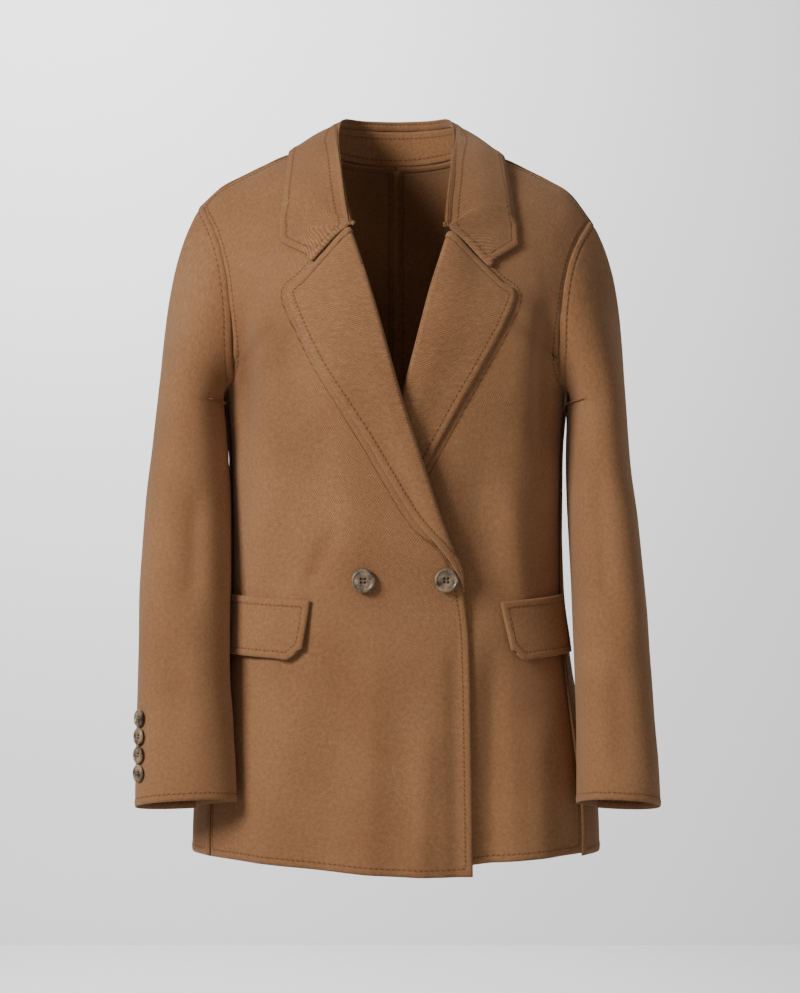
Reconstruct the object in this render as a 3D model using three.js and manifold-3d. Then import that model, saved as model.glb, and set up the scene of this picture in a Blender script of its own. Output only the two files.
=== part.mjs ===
// Short double-breasted coat in double-faced wool, filled out as when worn.
// Millimetres, +Z up, front facing -Y. The origin is on the middle plane, at the
// height of the two points where the shoulder seams meet the neck seam.
// "Right" and "left" are the wearer's: the right front (at -X) laps over the left.
import * as THREE from "three";
import { mergeVertices } from "three/addons/utils/BufferGeometryUtils.js";
import Module from "manifold-3d";

const wasm = await Module();
wasm.setup();

// ---------------------------------------------------------------- sizes
const CLOTH = 2.4; // one wall of double-faced wool
const SEAM = 0.3; // gap between pieces that are sewn together
const LAP_GAP = 1.4; // air between layers that only lie on each other
const SECTION_POWER = 2.5; // superellipse power of a level section of the body
const FRONT_SLOPE = { height: 190, power: 1.5 }; // how the chest rises to the shoulder ridge
const BACK_SLOPE = { height: 150, power: 1.8 };
const NECK_HALF = 80; // half width of the neck seam at the shoulder seams
const NECK_CROWN = 25; // virtual rise of the ridge over the neck hole
const FRONT_BUTTON = { radius: 12, thick: 4.2, rim: 2.2, rimRise: 0.9, hole: 1.05, pitch: 3.6, sides: 24 };
const CUFF_BUTTON = { radius: 8.6, thick: 3.2, rim: 1.6, rimRise: 0.6, hole: 0.8, pitch: 2.8, sides: 16 };

// Level sections of the body: half width, depth in front of and behind the shoulder plane.
const BODY = [
  { z: -745, half: 206, front: 120, back: 112 },
  { z: -672, half: 204, front: 119, back: 110 },
  { z: -620, half: 195, front: 118, back: 106 },
  { z: -560, half: 182, front: 116, back: 102 },
  { z: -500, half: 173, front: 114, back: 98 },
  { z: -430, half: 168, front: 112, back: 95 },
  { z: -360, half: 167, front: 113, back: 95 },
  { z: -300, half: 168, front: 117, back: 99 },
  { z: -248, half: 173, front: 121, back: 104 },
  { z: -187, half: 196, front: 122, back: 108 },
  { z: -120, half: 208, front: 120, back: 110 },
  { z: -65, half: 215, front: 118, back: 110 },
  { z: 45, half: 222, front: 116, back: 108 },
];

// Shoulder ridge: height of the shoulder seam at each distance from the middle.
const RIDGE = [
  { x: 80, z: 3 }, { x: 108, z: -7.5 }, { x: 132.6, z: -18.3 }, { x: 149.4, z: -26.5 }, { x: 165.2, z: -34.6 },
  { x: 179, z: -42.8 }, { x: 187.2, z: -51 }, { x: 194.3, z: -59 }, { x: 199, z: -66 }, { x: 222, z: -110 },
];
const SHOULDER_SHIFT = 5; // the shoulders sit a little towards the wearer's right

// Armhole, from the shoulder point down the front: across = distance from the middle.
const ARMHOLE_FRONT = [
  { across: 198, z: -66 }, { across: 187, z: -84 }, { across: 177, z: -106 }, { across: 170, z: -132 },
  { across: 166.5, z: -160 }, { across: 165.5, z: -190 }, { across: 165, z: -216 }, { across: 166, z: -238 },
];
const ARMHOLE_BACK = [
  { across: 198, z: -66 }, { across: 189, z: -88 }, { across: 182, z: -112 }, { across: 176, z: -140 },
  { across: 172, z: -168 }, { across: 169, z: -196 }, { across: 167, z: -220 }, { across: 166.5, z: -240 },
];
const UNDERARM = { q: 0.97, z: -251 }; // where the side seam meets the armhole
const SIDE_SEAM = [
  { z: -745, q: 0.725 }, { z: -672, q: 0.735 }, { z: -560, q: 0.79 }, { z: -430, q: 0.86 }, { z: -320, q: 0.93 }, { z: -251, q: 0.97 },
];

// Each front, measured on its own side (own > 0) and past the middle (own < 0):
// the roll or front edge from hem to neck, and the lapel edge from the break to the notch.
const FRONTS = {
  right: {
    side: -1,
    hem: { middle: -725.5, side: -711.5 },
    edge: [
      { own: -75, z: -725.5 }, { own: -74.2, z: -660 }, { own: -72.6, z: -570 }, { own: -70.2, z: -490 }, { own: -66.5, z: -446 },
    ],
    roll: [
      { own: -66.5, z: -446 }, { own: -60.5, z: -428 }, { own: -51.5, z: -405 }, { own: -36.9, z: -364 },
      { own: -22.4, z: -316 }, { own: -3, z: -255 }, { own: 13.5, z: -195 }, { own: 27.5, z: -146 }, { own: 36.5, z: -117 }, { own: 45, z: -92 },
    ],
    lapel: [
      { own: -66.5, z: -446 }, { own: -55.8, z: -429 }, { own: -43.1, z: -411 }, { own: -24.1, z: -385 }, { own: -1.1, z: -349 },
      { own: 17.8, z: -315 }, { own: 38.9, z: -279.6 }, { own: 71, z: -228.7 }, { own: 96.7, z: -179.3 }, { own: 107.3, z: -155 },
    ],
    notch: { own: 76.9, z: -123.5 },
    gorge: { own: 47, z: -90 },
  },
  left: {
    side: 1,
    hem: { middle: -718.5, side: -708.5 },
    edge: [
      { own: -61, z: -718.5 }, { own: -60, z: -660 }, { own: -58.5, z: -570 }, { own: -56, z: -490 }, { own: -52, z: -446 },
    ],
    roll: [
      { own: -52, z: -446 }, { own: -47.5, z: -428 }, { own: -40, z: -405 }, { own: -27, z: -364 }, { own: -11.5, z: -316 },
      { own: 7.4, z: -256 }, { own: 25.5, z: -187 }, { own: 34.8, z: -151 }, { own: 44.7, z: -118.7 }, { own: 52, z: -95 },
    ],
    lapel: [
      { own: -52, z: -446 }, { own: -41, z: -430 }, { own: -29, z: -413 }, { own: -12, z: -388 }, { own: 9, z: -355 },
      { own: 27.4, z: -326.6 }, { own: 56, z: -275 }, { own: 79.1, z: -234.2 }, { own: 98.6, z: -200 }, { own: 118.5, z: -157 },
    ],
    notch: { own: 88.3, z: -128 },
    gorge: { own: 53.5, z: -92 },
  },
};
const NECK_TO_GORGE = [
  { along: 0, own: 80, z: 0 }, { along: 0.33, own: 73, z: -27 }, { along: 0.66, own: 62, z: -58 }, { along: 1, own: 46, z: -90 },
];
const BREAK_TURN = 62; // length above the break over which the lapel turns fully over
const ROLL_RADIUS = { atBreak: 3.4, atNeck: 2.6 };

// How far the right front stands off the body, over the left front and its lapel.
const LAP = { height: 4.6, from: 118, to: 64 };
const LAP_RISE = { height: 9.5, full: 40, none: 108, zLow: -478, zLowFull: -415, zHighFull: -235, zHigh: -110 };

// Soft vertical folds of the body: top and bottom of the crest, width, and height (+) or depth (-).
const FOLDS = [
  { x0: -158, z0: -120, x1: -150, z1: -330, width: 13, rise: -5 },
  { x0: -128, z0: -110, x1: -118, z1: -430, width: 20, rise: 4.5 },
  { x0: -72, z0: -230, x1: -66, z1: -460, width: 17, rise: -4.5 },
  { x0: -112, z0: -540, x1: -128, z1: -745, width: 24, rise: 5 },
  { x0: -62, z0: -480, x1: -74, z1: -745, width: 22, rise: -5 },
  { x0: 158, z0: -120, x1: 150, z1: -330, width: 13, rise: -5 },
  { x0: 126, z0: -120, x1: 120, z1: -430, width: 20, rise: 4 },
  { x0: 78, z0: -300, x1: 84, z1: -460, width: 18, rise: -4 },
  { x0: 118, z0: -560, x1: 126, z1: -745, width: 22, rise: 4 },
  { x0: 92, z0: -520, x1: 90, z1: -745, width: 20, rise: -3.5 },
];

// Sleeves by level: centre and half size across and in depth; lift is how much the back of the section drops.
const SLEEVES = {
  right: {
    side: -1,
    rows: [
      { z: -262, cx: 206, cy: -8, rx: 36.5, ry: 70 },
      { z: -314, cx: 207, cy: -18, rx: 40.5, ry: 66 },
      { z: -365, cx: 208, cy: -30, rx: 43.3, ry: 61 },
      { z: -415, cx: 209, cy: -42, rx: 45, ry: 57 },
      { z: -465, cx: 210, cy: -55, rx: 46, ry: 53 },
      { z: -515, cx: 210, cy: -66, rx: 46.3, ry: 50 },
      { z: -564, cx: 209, cy: -75, rx: 47.9, ry: 47 },
      { z: -612, cx: 207.5, cy: -82, rx: 50, ry: 44 },
      { z: -663, cx: 206.5, cy: -88, rx: 51.3, ry: 41 },
    ],
  },
  left: {
    side: 1,
    rows: [
      { z: -262, cx: 203, cy: -8, rx: 30.5, ry: 72 },
      { z: -314, cx: 204.5, cy: -18, rx: 32, ry: 69 },
      { z: -365, cx: 206.5, cy: -30, rx: 34, ry: 65 },
      { z: -415, cx: 210, cy: -42, rx: 35.2, ry: 61 },
      { z: -465, cx: 212.6, cy: -55, rx: 36.5, ry: 58 },
      { z: -515, cx: 215.3, cy: -66, rx: 37.9, ry: 55 },
      { z: -564, cx: 217.2, cy: -75, rx: 38.5, ry: 52 },
      { z: -612, cx: 219.2, cy: -82, rx: 40.1, ry: 50 },
      { z: -663, cx: 219.9, cy: -88, rx: 41.7, ry: 48 },
    ],
  },
};
const CUFF = { tilt: 0.2, outerDrop: 0.05 }; // how much lower the back, and the outer side, of the cuff edge is

// Collar, half: the roll line from the middle back to the gorge, and the outer edge of the fall.
const ROLL_LINE = [
  { along: 0, x: 0, y: 57, z: 36.5 }, { along: 0.15, x: 27, y: 52, z: 36.5 }, { along: 0.3, x: 48, y: 31, z: 36 }, { along: 0.42, x: 55.5, y: 5, z: 30 },
  { along: 0.55, x: 58, y: -20, z: 10 }, { along: 0.7, x: 56, y: -46, z: -25 }, { along: 0.86, x: 51.5, y: -73, z: -58 }, { along: 1, x: 46, y: -94, z: -88 },
];
const FALL_EDGE = {
  right: [
    { along: 0, x: 0, y: 86, z: -27 }, { along: 0.15, x: 44, y: 79, z: -26 }, { along: 0.3, x: 84, y: 56, z: -23 }, { along: 0.42, x: 106, y: 14, z: -5 },
    { along: 0.55, x: 109, y: -14, z: -10 }, { along: 0.7, x: 110.5, y: -36, z: -28 }, { along: 0.86, x: 111, y: -55, z: -49 }, { along: 1, x: 112, y: -69, z: -71 },
  ],
  left: [
    { along: 0, x: 0, y: 86, z: -27 }, { along: 0.15, x: 44, y: 79, z: -26 }, { along: 0.3, x: 84, y: 56, z: -23 }, { along: 0.42, x: 106, y: 14, z: -6 },
    { along: 0.55, x: 110.5, y: -14, z: -12 }, { along: 0.7, x: 113, y: -36, z: -31 }, { along: 0.86, x: 115, y: -56, z: -53 }, { along: 1, x: 117, y: -71, z: -75 },
  ],
};
const FALL_TIP = { right: { own: 113.5, z: -101.5 }, left: { own: 119.8, z: -105 } };
const COLLAR_ROLL = 3.6; // radius of the fold at the top of the collar
const STAND_SEAM = 10.5; // distance of the stand seam below the roll at the middle back

const FLAPS = {
  right: { side: -1, front: { top: 82, bottom: 88.5 }, rear: 0.83, top: -455.5, rearTop: -451, height: 58.5, corner: 11 },
  left: { side: 1, front: { top: 101.5, bottom: 110 }, rear: 0.84, top: -457, rearTop: -451, height: 58.5, corner: 11 },
};
const BUTTONS = { outer: { x: 47.7, z: -435.3 }, inner: { x: -30.9, z: -435.6 }, cuffPitch: 17.9, cuffLowest: 38, cuffCount: 4 };

// ---------------------------------------------------------------- small tools
const clamp = (v, a, b) => Math.min(b, Math.max(a, v));
const lerp = (a, b, t) => a + (b - a) * t;
const ease = (t) => { const c = clamp(t, 0, 1); return c * c * (3 - 2 * c); };
const spread = (n, f) => Array.from({ length: n + 1 }, (_, i) => f(i / n, i));

// Monotone cubic curve through a table's column.
function through(rows, at, key) {
  const x = rows.map((r) => r[at]), y = rows.map((r) => r[key]), n = x.length;
  const d = x.slice(1).map((v, i) => (y[i + 1] - y[i]) / (v - x[i]));
  const m = x.map((_, i) => (i === 0 ? d[0] : i === n - 1 ? d[n - 2] : d[i - 1] * d[i] <= 0 ? 0 : (2 * d[i - 1] * d[i]) / (d[i - 1] + d[i])));
  return (v) => {
    let i = 0;
    while (i < n - 2 && v > x[i + 1]) i++;
    const h = x[i + 1] - x[i], t = clamp((v - x[i]) / h, 0, 1), t2 = t * t, t3 = t2 * t;
    return y[i] * (2 * t3 - 3 * t2 + 1) + m[i] * h * (t3 - 2 * t2 + t) + y[i + 1] * (3 * t2 - 2 * t3) + m[i + 1] * h * (t3 - t2);
  };
}

// A path through rows of two columns, by its length from 0 to 1.
function path(rows, a, b) {
  const curve = new THREE.CatmullRomCurve3(rows.map((r) => new THREE.Vector3(r[a], r[b], 0)), false, "centripetal");
  return (t) => { const p = curve.getPointAt(clamp(t, 0, 1)); return [p.x, p.y]; };
}

// ---------------------------------------------------------------- body form
// The quarter section as (fx, fy) at even steps of its own length: q 0 at the middle, 1 at the side.
const QUARTER = (() => {
  const fine = spread(600, (t) => {
    const a = t * Math.PI / 2;
    return [Math.pow(Math.sin(a), 2 / SECTION_POWER), Math.pow(Math.cos(a), 2 / SECTION_POWER)];
  });
  const len = [0];
  for (let i = 1; i < fine.length; i++) len.push(len[i - 1] + Math.hypot(1.6 * (fine[i][0] - fine[i - 1][0]), fine[i][1] - fine[i - 1][1]));
  const total = len[len.length - 1];
  return fine.map((p, i) => ({ q: len[i] / total, fx: p[0], fy: p[1] }));
})();
function look(table, at, key, v) {
  let lo = 0, hi = table.length - 1;
  const up = table[hi][at] > table[0][at];
  while (hi - lo > 1) { const mid = (lo + hi) >> 1; ((table[mid][at] <= v) === up) ? (lo = mid) : (hi = mid); }
  const a = table[lo], b = table[hi], d = b[at] - a[at];
  return lerp(a[key], b[key], d ? clamp((v - a[at]) / d, 0, 1) : 0);
}
const half = through(BODY, "z", "half"), depthFront = through(BODY, "z", "front"), depthBack = through(BODY, "z", "back");
const ridgeOut = through(RIDGE, "x", "z");
const ridge = (x) => {
  const a = Math.abs(x), shift = SHOULDER_SHIFT * ease((a - NECK_HALF) / 30) * Math.sign(x);
  return a < NECK_HALF ? 3 + NECK_CROWN * (1 - (a / NECK_HALF) ** 2) : ridgeOut(Math.max(NECK_HALF, a + shift));
};
function slope(x, z, s) {
  const t = clamp((ridge(x) - z) / s.height, 0, 1);
  return Math.pow(1 - Math.pow(1 - t, s.power), 1 / s.power);
}
function foldRise(x, z) {
  let sum = 0;
  for (const f of FOLDS) {
    const t = (z - f.z0) / (f.z1 - f.z0), c = clamp(t, 0, 1);
    const along = f.z1 < -700 ? ease(t / 0.45) : ease(t / 0.35) * ease((1 - t) / 0.35);
    const d = (x - lerp(f.x0, f.x1, c)) / f.width;
    sum += f.rise * along * Math.exp(-d * d);
  }
  return sum;
}
// q runs 0 (middle front) to 1 (side) to 2 (middle back); side is -1 or 1.
function bodyBase(q, z, side) {
  const back = q > 1, k = back ? 2 - q : Math.abs(q);
  const x = side * Math.sign(q || 1) * half(z) * look(QUARTER, "q", "fx", k);
  const fy = look(QUARTER, "q", "fy", k);
  return back ? [x, depthBack(z) * fy * slope(x, z, BACK_SLOPE), z] : [x, -depthFront(z) * fy * slope(x, z, FRONT_SLOPE), z];
}
function bodyPoint(q, z, side, off = 0) {
  const e = 0.004, p = bodyBase(q, z, side), a = bodyBase(q - e, z, side), b = bodyBase(q + e, z, side);
  const c = bodyBase(q, z - 1.5, side), d = bodyBase(q, z + 1.5, side);
  const u = new THREE.Vector3(b[0] - a[0], b[1] - a[1], b[2] - a[2]), v = new THREE.Vector3(d[0] - c[0], d[1] - c[1], d[2] - c[2]);
  const n = u.cross(v).normalize().multiplyScalar(side);
  const rise = off + (q < 1 ? foldRise(p[0], z) * ease((1 - q) / 0.2) : 0);
  return new THREE.Vector3(p[0] + n.x * rise, p[1] + n.y * rise, p[2] + n.z * rise * 0.5);
}
const qOf = (own, z) => Math.sign(own || 1) * look(QUARTER, "fx", "q", clamp(Math.abs(own) / half(z), 0, 1));

// How far the outer face of a front stands off the body form.
function lapRise(side, own, z) {
  if (side > 0) return 0;
  const over = LAP.height * ease((LAP.from - own) / (LAP.from - LAP.to));
  const up = ease((z - LAP_RISE.zLow) / (LAP_RISE.zLowFull - LAP_RISE.zLow)) * ease((LAP_RISE.zHigh - z) / (LAP_RISE.zHigh - LAP_RISE.zHighFull));
  return over * ease((-60 - z) / 60) + LAP_RISE.height * up * ease((LAP_RISE.none - own) / (LAP_RISE.none - LAP_RISE.full));
}
const frontPoint = (side, own, z, off = 0) => bodyPoint(qOf(own, z), z, side, lapRise(side, own, z) + off);

// Armhole as (q, z), 0 at the shoulder point and 1 under the arm.
function armholeLoop(side, front) {
  const rows = (front ? ARMHOLE_FRONT : ARMHOLE_BACK).map(({ across, z }, i) => {
    const level = i === 0 ? ridge(side * across) - SEAM : z + (ridge(side * 198) + 66) * Math.max(0, 1 - i / 4);
    return new THREE.Vector3((front ? qOf(across, level) : 2 - qOf(across, level)) * 250, level, 0);
  });
  if (!front) rows.push(new THREE.Vector3(1.04 * 250, -248.5, 0));
  rows.push(new THREE.Vector3(UNDERARM.q * 250, UNDERARM.z, 0));
  const curve = new THREE.CatmullRomCurve3(rows, false, "centripetal");
  return (t) => { const p = curve.getPointAt(clamp(t, 0, 1)); return [p.x / 250, p.y]; };
}
// Moves a point up until it is clear of the body's outer face.
function above(p, room) {
  const d = (z) => { const f = look(QUARTER, "fx", "fy", clamp(Math.abs(p.x) / half(z), 0, 1)); return p.y < 0 ? depthFront(z) * f * slope(p.x, z, FRONT_SLOPE) : depthBack(z) * f * slope(p.x, z, BACK_SLOPE); };
  const inset = Math.max(0, Math.abs(p.y) - room);
  let hi = ridge(p.x) + room, lo = hi - 200;
  if (d(lo) < inset) return p;
  for (let i = 0; i < 30; i++) { const m = (hi + lo) / 2; d(m) < inset ? (hi = m) : (lo = m); }
  p.z = Math.max(p.z, Math.min(hi + room, ridge(p.x) + room));
  return p;
}

// ---------------------------------------------------------------- cloth solids
// rows[i][j] is the outer face; a cell can be left out; the wall goes inwards by `thick`.
function cloth(rows, { thick = CLOTH, flip = false, keep = () => true, closed = false } = {}) {
  const R = rows.length, C = rows[0].length, last = closed ? C : C - 1;
  const key = (v) => `${v.x.toFixed(3)},${v.y.toFixed(3)},${v.z.toFixed(3)}`;
  const normals = new Map();
  const cells = [];
  for (let i = 0; i < R - 1; i++) for (let j = 0; j < last; j++) if (keep(i, j)) cells.push([i, j]);
  const at = (i, j) => rows[i][j % C];
  const tri = (a, b, c) => {
    const n = new THREE.Vector3().subVectors(b, a).cross(new THREE.Vector3().subVectors(c, a));
    for (const p of [a, b, c]) { const k = key(p); normals.set(k, (normals.get(k) || new THREE.Vector3()).add(n.clone().normalize().multiplyScalar(Math.sqrt(n.length())))); }
  };
  for (const [i, j] of cells) { tri(at(i, j), at(i, j + 1), at(i + 1, j + 1)); tri(at(i, j), at(i + 1, j + 1), at(i + 1, j)); }
  const t = typeof thick === "function" ? thick : () => thick;
  const inner = rows.map((row, i) => row.map((p, j) => {
    const n = normals.get(key(p));
    return n ? p.clone().addScaledVector(n.clone().normalize(), (flip ? 1 : -1) * t(i, j)) : p.clone();
  }));
  const pos = [], edges = new Map();
  const put = (a, b, c) => { if (flip) [b, c] = [c, b]; if (key(a) !== key(b) && key(b) !== key(c) && key(c) !== key(a)) pos.push(a.x, a.y, a.z, b.x, b.y, b.z, c.x, c.y, c.z); };
  const edge = (a, b, ia, ib) => { const k1 = key(a) + "|" + key(b), k2 = key(b) + "|" + key(a); if (key(a) === key(b)) return; edges.has(k2) ? edges.delete(k2) : edges.set(k1, [a, b, ia, ib]); };
  for (const [i, j] of cells) {
    const c = [[i, j], [i, j + 1], [i + 1, j + 1], [i + 1, j]];
    const o = c.map(([r, s]) => at(r, s)), n = c.map(([r, s]) => inner[r][s % C]);
    put(o[0], o[1], o[2]); put(o[0], o[2], o[3]);
    put(n[0], n[2], n[1]); put(n[0], n[3], n[2]);
    for (let k = 0; k < 4; k++) edge(o[k], o[(k + 1) % 4], n[k], n[(k + 1) % 4]);
  }
  for (const [a, b, ia, ib] of edges.values()) { put(b, a, ia); put(b, ia, ib); }
  const g = new THREE.BufferGeometry().setAttribute("position", new THREE.Float32BufferAttribute(pos, 3));
  return mergeVertices(g, 1e-4);
}

function solid(geometry) {
  const g = geometry.clone(); g.deleteAttribute("normal"); g.deleteAttribute("uv");
  const m = mergeVertices(g, 1e-4);
  return new wasm.Manifold(new wasm.Mesh({ numProp: 3, vertProperties: m.attributes.position.array, triVerts: new Uint32Array(m.index.array) }));
}
function geometryOf(manifold) {
  const m = manifold.getMesh();
  return new THREE.BufferGeometry().setAttribute("position", new THREE.BufferAttribute(m.vertProperties, 3)).setIndex(new THREE.BufferAttribute(m.triVerts, 1));
}

// ---------------------------------------------------------------- fronts
// A four-sided patch in (q, z) from its four edges.
function patch(leftEdge, rightEdge, lower, upper) {
  const c00 = lower(0), c10 = lower(1), c01 = upper(0), c11 = upper(1);
  return (w, t) => [0, 1].map((k) =>
    (1 - w) * leftEdge(t)[k] + w * rightEdge(t)[k] + (1 - t) * lower(w)[k] + t * upper(w)[k]
    - ((1 - w) * (1 - t) * c00[k] + w * (1 - t) * c10[k] + (1 - w) * t * c01[k] + w * t * c11[k]));
}
const seamQ = through(SIDE_SEAM, "z", "q");
const gap = (v, by) => v + by;

function frontPiece(name) {
  const F = FRONTS[name], side = F.side;
  const BREAK = 0.44, UNDER = 0.71, NECK = 0.56;
  const edge = path(F.edge, "own", "z"), roll = path(F.roll, "own", "z");
  const armhole = armholeLoop(side, true);
  const inQ = ([own, z]) => [qOf(own, z), z];
  const leftEdge = (t) => {
    if (t < UNDER) { const z = lerp(F.hem.side, UNDERARM.z, t / UNDER); return [seamQ(z) - 0.0011, z]; }
    const a = armhole(1 - (t - UNDER) / (1 - UNDER));
    return [a[0] - 0.0011 * ease((-150 - a[1]) / 100), a[1]];
  };
  const rightEdge = (t) => inQ(t < BREAK ? edge(t / BREAK) : (() => { const p = roll((t - BREAK) / (1 - BREAK)); return [p[0] + ROLL_RADIUS.atNeck, p[1]]; })());
  const neck = path(NECK_TO_GORGE, "own", "z");
  const G = rightEdge(1);
  const lower = (w) => { const q = lerp(leftEdge(0)[0], rightEdge(0)[0], w); return [q, lerp(F.hem.side, F.hem.middle, ease(w * 1.15))]; };
  const upper = (w) => {
    if (w < NECK) { const own = lerp(ARMHOLE_FRONT[0].across, NECK_HALF, w / NECK), z = ridge(side * own) - SEAM; return inQ([own, z]); }
    const s = (w - NECK) / (1 - NECK), p = inQ(neck(s)), e = neck(1), ge = inQ(e);
    return [p[0] + (G[0] - ge[0]) * s, p[1] - SEAM + (G[1] - ge[1]) * s];
  };
  const P = patch(leftEdge, rightEdge, lower, upper);
  const along = [0, 0.07, 0.15, 0.23, 0.31, 0.38, 0.44, 0.475, 0.51, 0.56, 0.62, 0.68, 0.74, 0.8, 0.86, 0.91, 0.95, 0.975, 0.99, 1];
  const across = [0, 0.12, 0.24, 0.36, 0.48, 0.56, 0.68, 0.8, 0.9, 1];
  const ownOf = (q, z) => Math.sign(q) * half(z) * look(QUARTER, "q", "fx", Math.abs(q));
  const arcSteps = 4, topSteps = 5;
  const tip = F.lapel[F.lapel.length - 1];
  const outer = path(F.lapel, "own", "z");
  const rows = along.map((t) => {
    const row = across.map((w) => { const [q, z] = P(w, t); return bodyPoint(q, z, side, q < 1 ? lapRise(side, ownOf(q, z), z) : 0); });
    const s = clamp((t - BREAK) / (1 - BREAK), 0, 1);
    const [oq, oz] = rightEdge(t), own0 = ownOf(oq, oz);
    const a0 = roll(clamp(s - 0.02, 0, 1)), a1 = roll(clamp(s + 0.02, 0, 1));
    const dir = new THREE.Vector2(a1[0] - a0[0], a1[1] - a0[1]).normalize(), out = new THREE.Vector2(-dir.y, dir.x);
    if (out.x > 0) out.negate();
    const start = new THREE.Vector2(own0, oz);
    const r = lerp(ROLL_RADIUS.atBreak, ROLL_RADIUS.atNeck, s);
    // the far end of this row: up the lapel edge to the tip, then along the notch edge to the gorge seam
    const TIP = 0.83;
    const g = s <= TIP ? outer(s / TIP) : [lerp(tip.own, F.notch.own, (s - TIP) / (1 - TIP)), lerp(tip.z, F.notch.z, (s - TIP) / (1 - TIP))];
    const end = new THREE.Vector2(g[0], g[1]);
    if (s === 0) { for (let k = 1; k <= arcSteps + topSteps; k++) row.push(row[across.length - 1].clone()); return row; }
    const up = oz - FRONTS[name].roll[0].z;
    const turn = Math.PI * ease(up / BREAK_TURN * 0.5 + 0.0) * (up > BREAK_TURN ? 1 : 1) ;
    const alpha = up >= BREAK_TURN ? Math.PI : Math.PI * Math.sqrt(clamp(up / BREAK_TURN, 0, 1));
    const reach = start.distanceTo(end), flat = reach + Math.PI * r;
    const arcLen = Math.min(alpha * r, flat * 0.5);
    for (let k = 1; k <= arcSteps; k++) {
      const phi = (k / arcSteps) * alpha;
      const p = start.clone().addScaledVector(out, r * Math.sin(phi));
      row.push(frontPoint(side, p.x, p.y, r * (1 - Math.cos(phi))));
    }
    const bend = alpha / Math.PI;
    for (let k = 1; k <= topSteps; k++) {
      const f = k / topSteps;
      const p = start.clone().lerp(end, f * bend).addScaledVector(out, r * Math.sin(alpha) * (1 - f) + (1 - bend) * f * reach * 0.6);
      const lift = r * (1 - Math.cos(alpha)) + (1 - bend) * f * reach * 0.8;
      const rest = lerp(2 * r, LAP_GAP, ease(f * 1.4)) ;
      row.push(frontPoint(side, p.x, p.y, lerp(lift, rest, alpha >= Math.PI ? ease(f * 2) : 0)));
    }
    return row;
  });
  const flatCols = across.length - 1, breakRow = along.indexOf(BREAK);
  return cloth(rows, { flip: side > 0, keep: (i, j) => j < flatCols || i >= breakRow });
}

// ---------------------------------------------------------------- backs
function backPiece(side) {
  const UNDER = 0.69, NECK = 0.56, hemBack = -711;
  const armhole = armholeLoop(side, false);
  const inQ = ([own, z]) => [2 - qOf(own, z), z];
  const sideEdge = (t) => {
    if (t < UNDER) { const z = lerp(hemBack, UNDERARM.z, t / UNDER); return [seamQ(z) + 0.0011, z]; }
    const a = armhole(1 - (t - UNDER) / (1 - UNDER));
    return [a[0] + 0.0011 * ease((-150 - a[1]) / 100), a[1]];
  };
  const middle = (t) => [2 - 0.0011, lerp(hemBack, -10 - SEAM, t)];
  const lower = (w) => [lerp(sideEdge(0)[0], middle(0)[0], w), hemBack];
  const upper = (w) => {
    if (w < NECK) { const own = lerp(ARMHOLE_BACK[0].across, NECK_HALF, w / NECK); return inQ([own, ridge(side * own) + SEAM]); }
    const own = NECK_HALF * (1 - (w - NECK) / (1 - NECK)), z = -10 * (1 - (own / NECK_HALF) ** 2) - SEAM;
    return [Math.min(inQ([own, z])[0], 2 - 0.0011), z];
  };
  const P = patch(sideEdge, middle, lower, upper);
  const along = [0, 0.08, 0.17, 0.26, 0.35, 0.44, 0.53, 0.61, 0.69, 0.72, 0.738, 0.78, 0.83, 0.88, 0.92, 0.955, 0.98, 0.992, 1];
  const across = [0, 0.1, 0.2, 0.3, 0.42, 0.56, 0.7, 0.85, 1];
  const rows = along.map((t) => across.map((w) => { const [q, z] = P(w, t); return bodyPoint(q, z, side); }));
  return cloth(rows, { flip: side > 0 });
}

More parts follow.
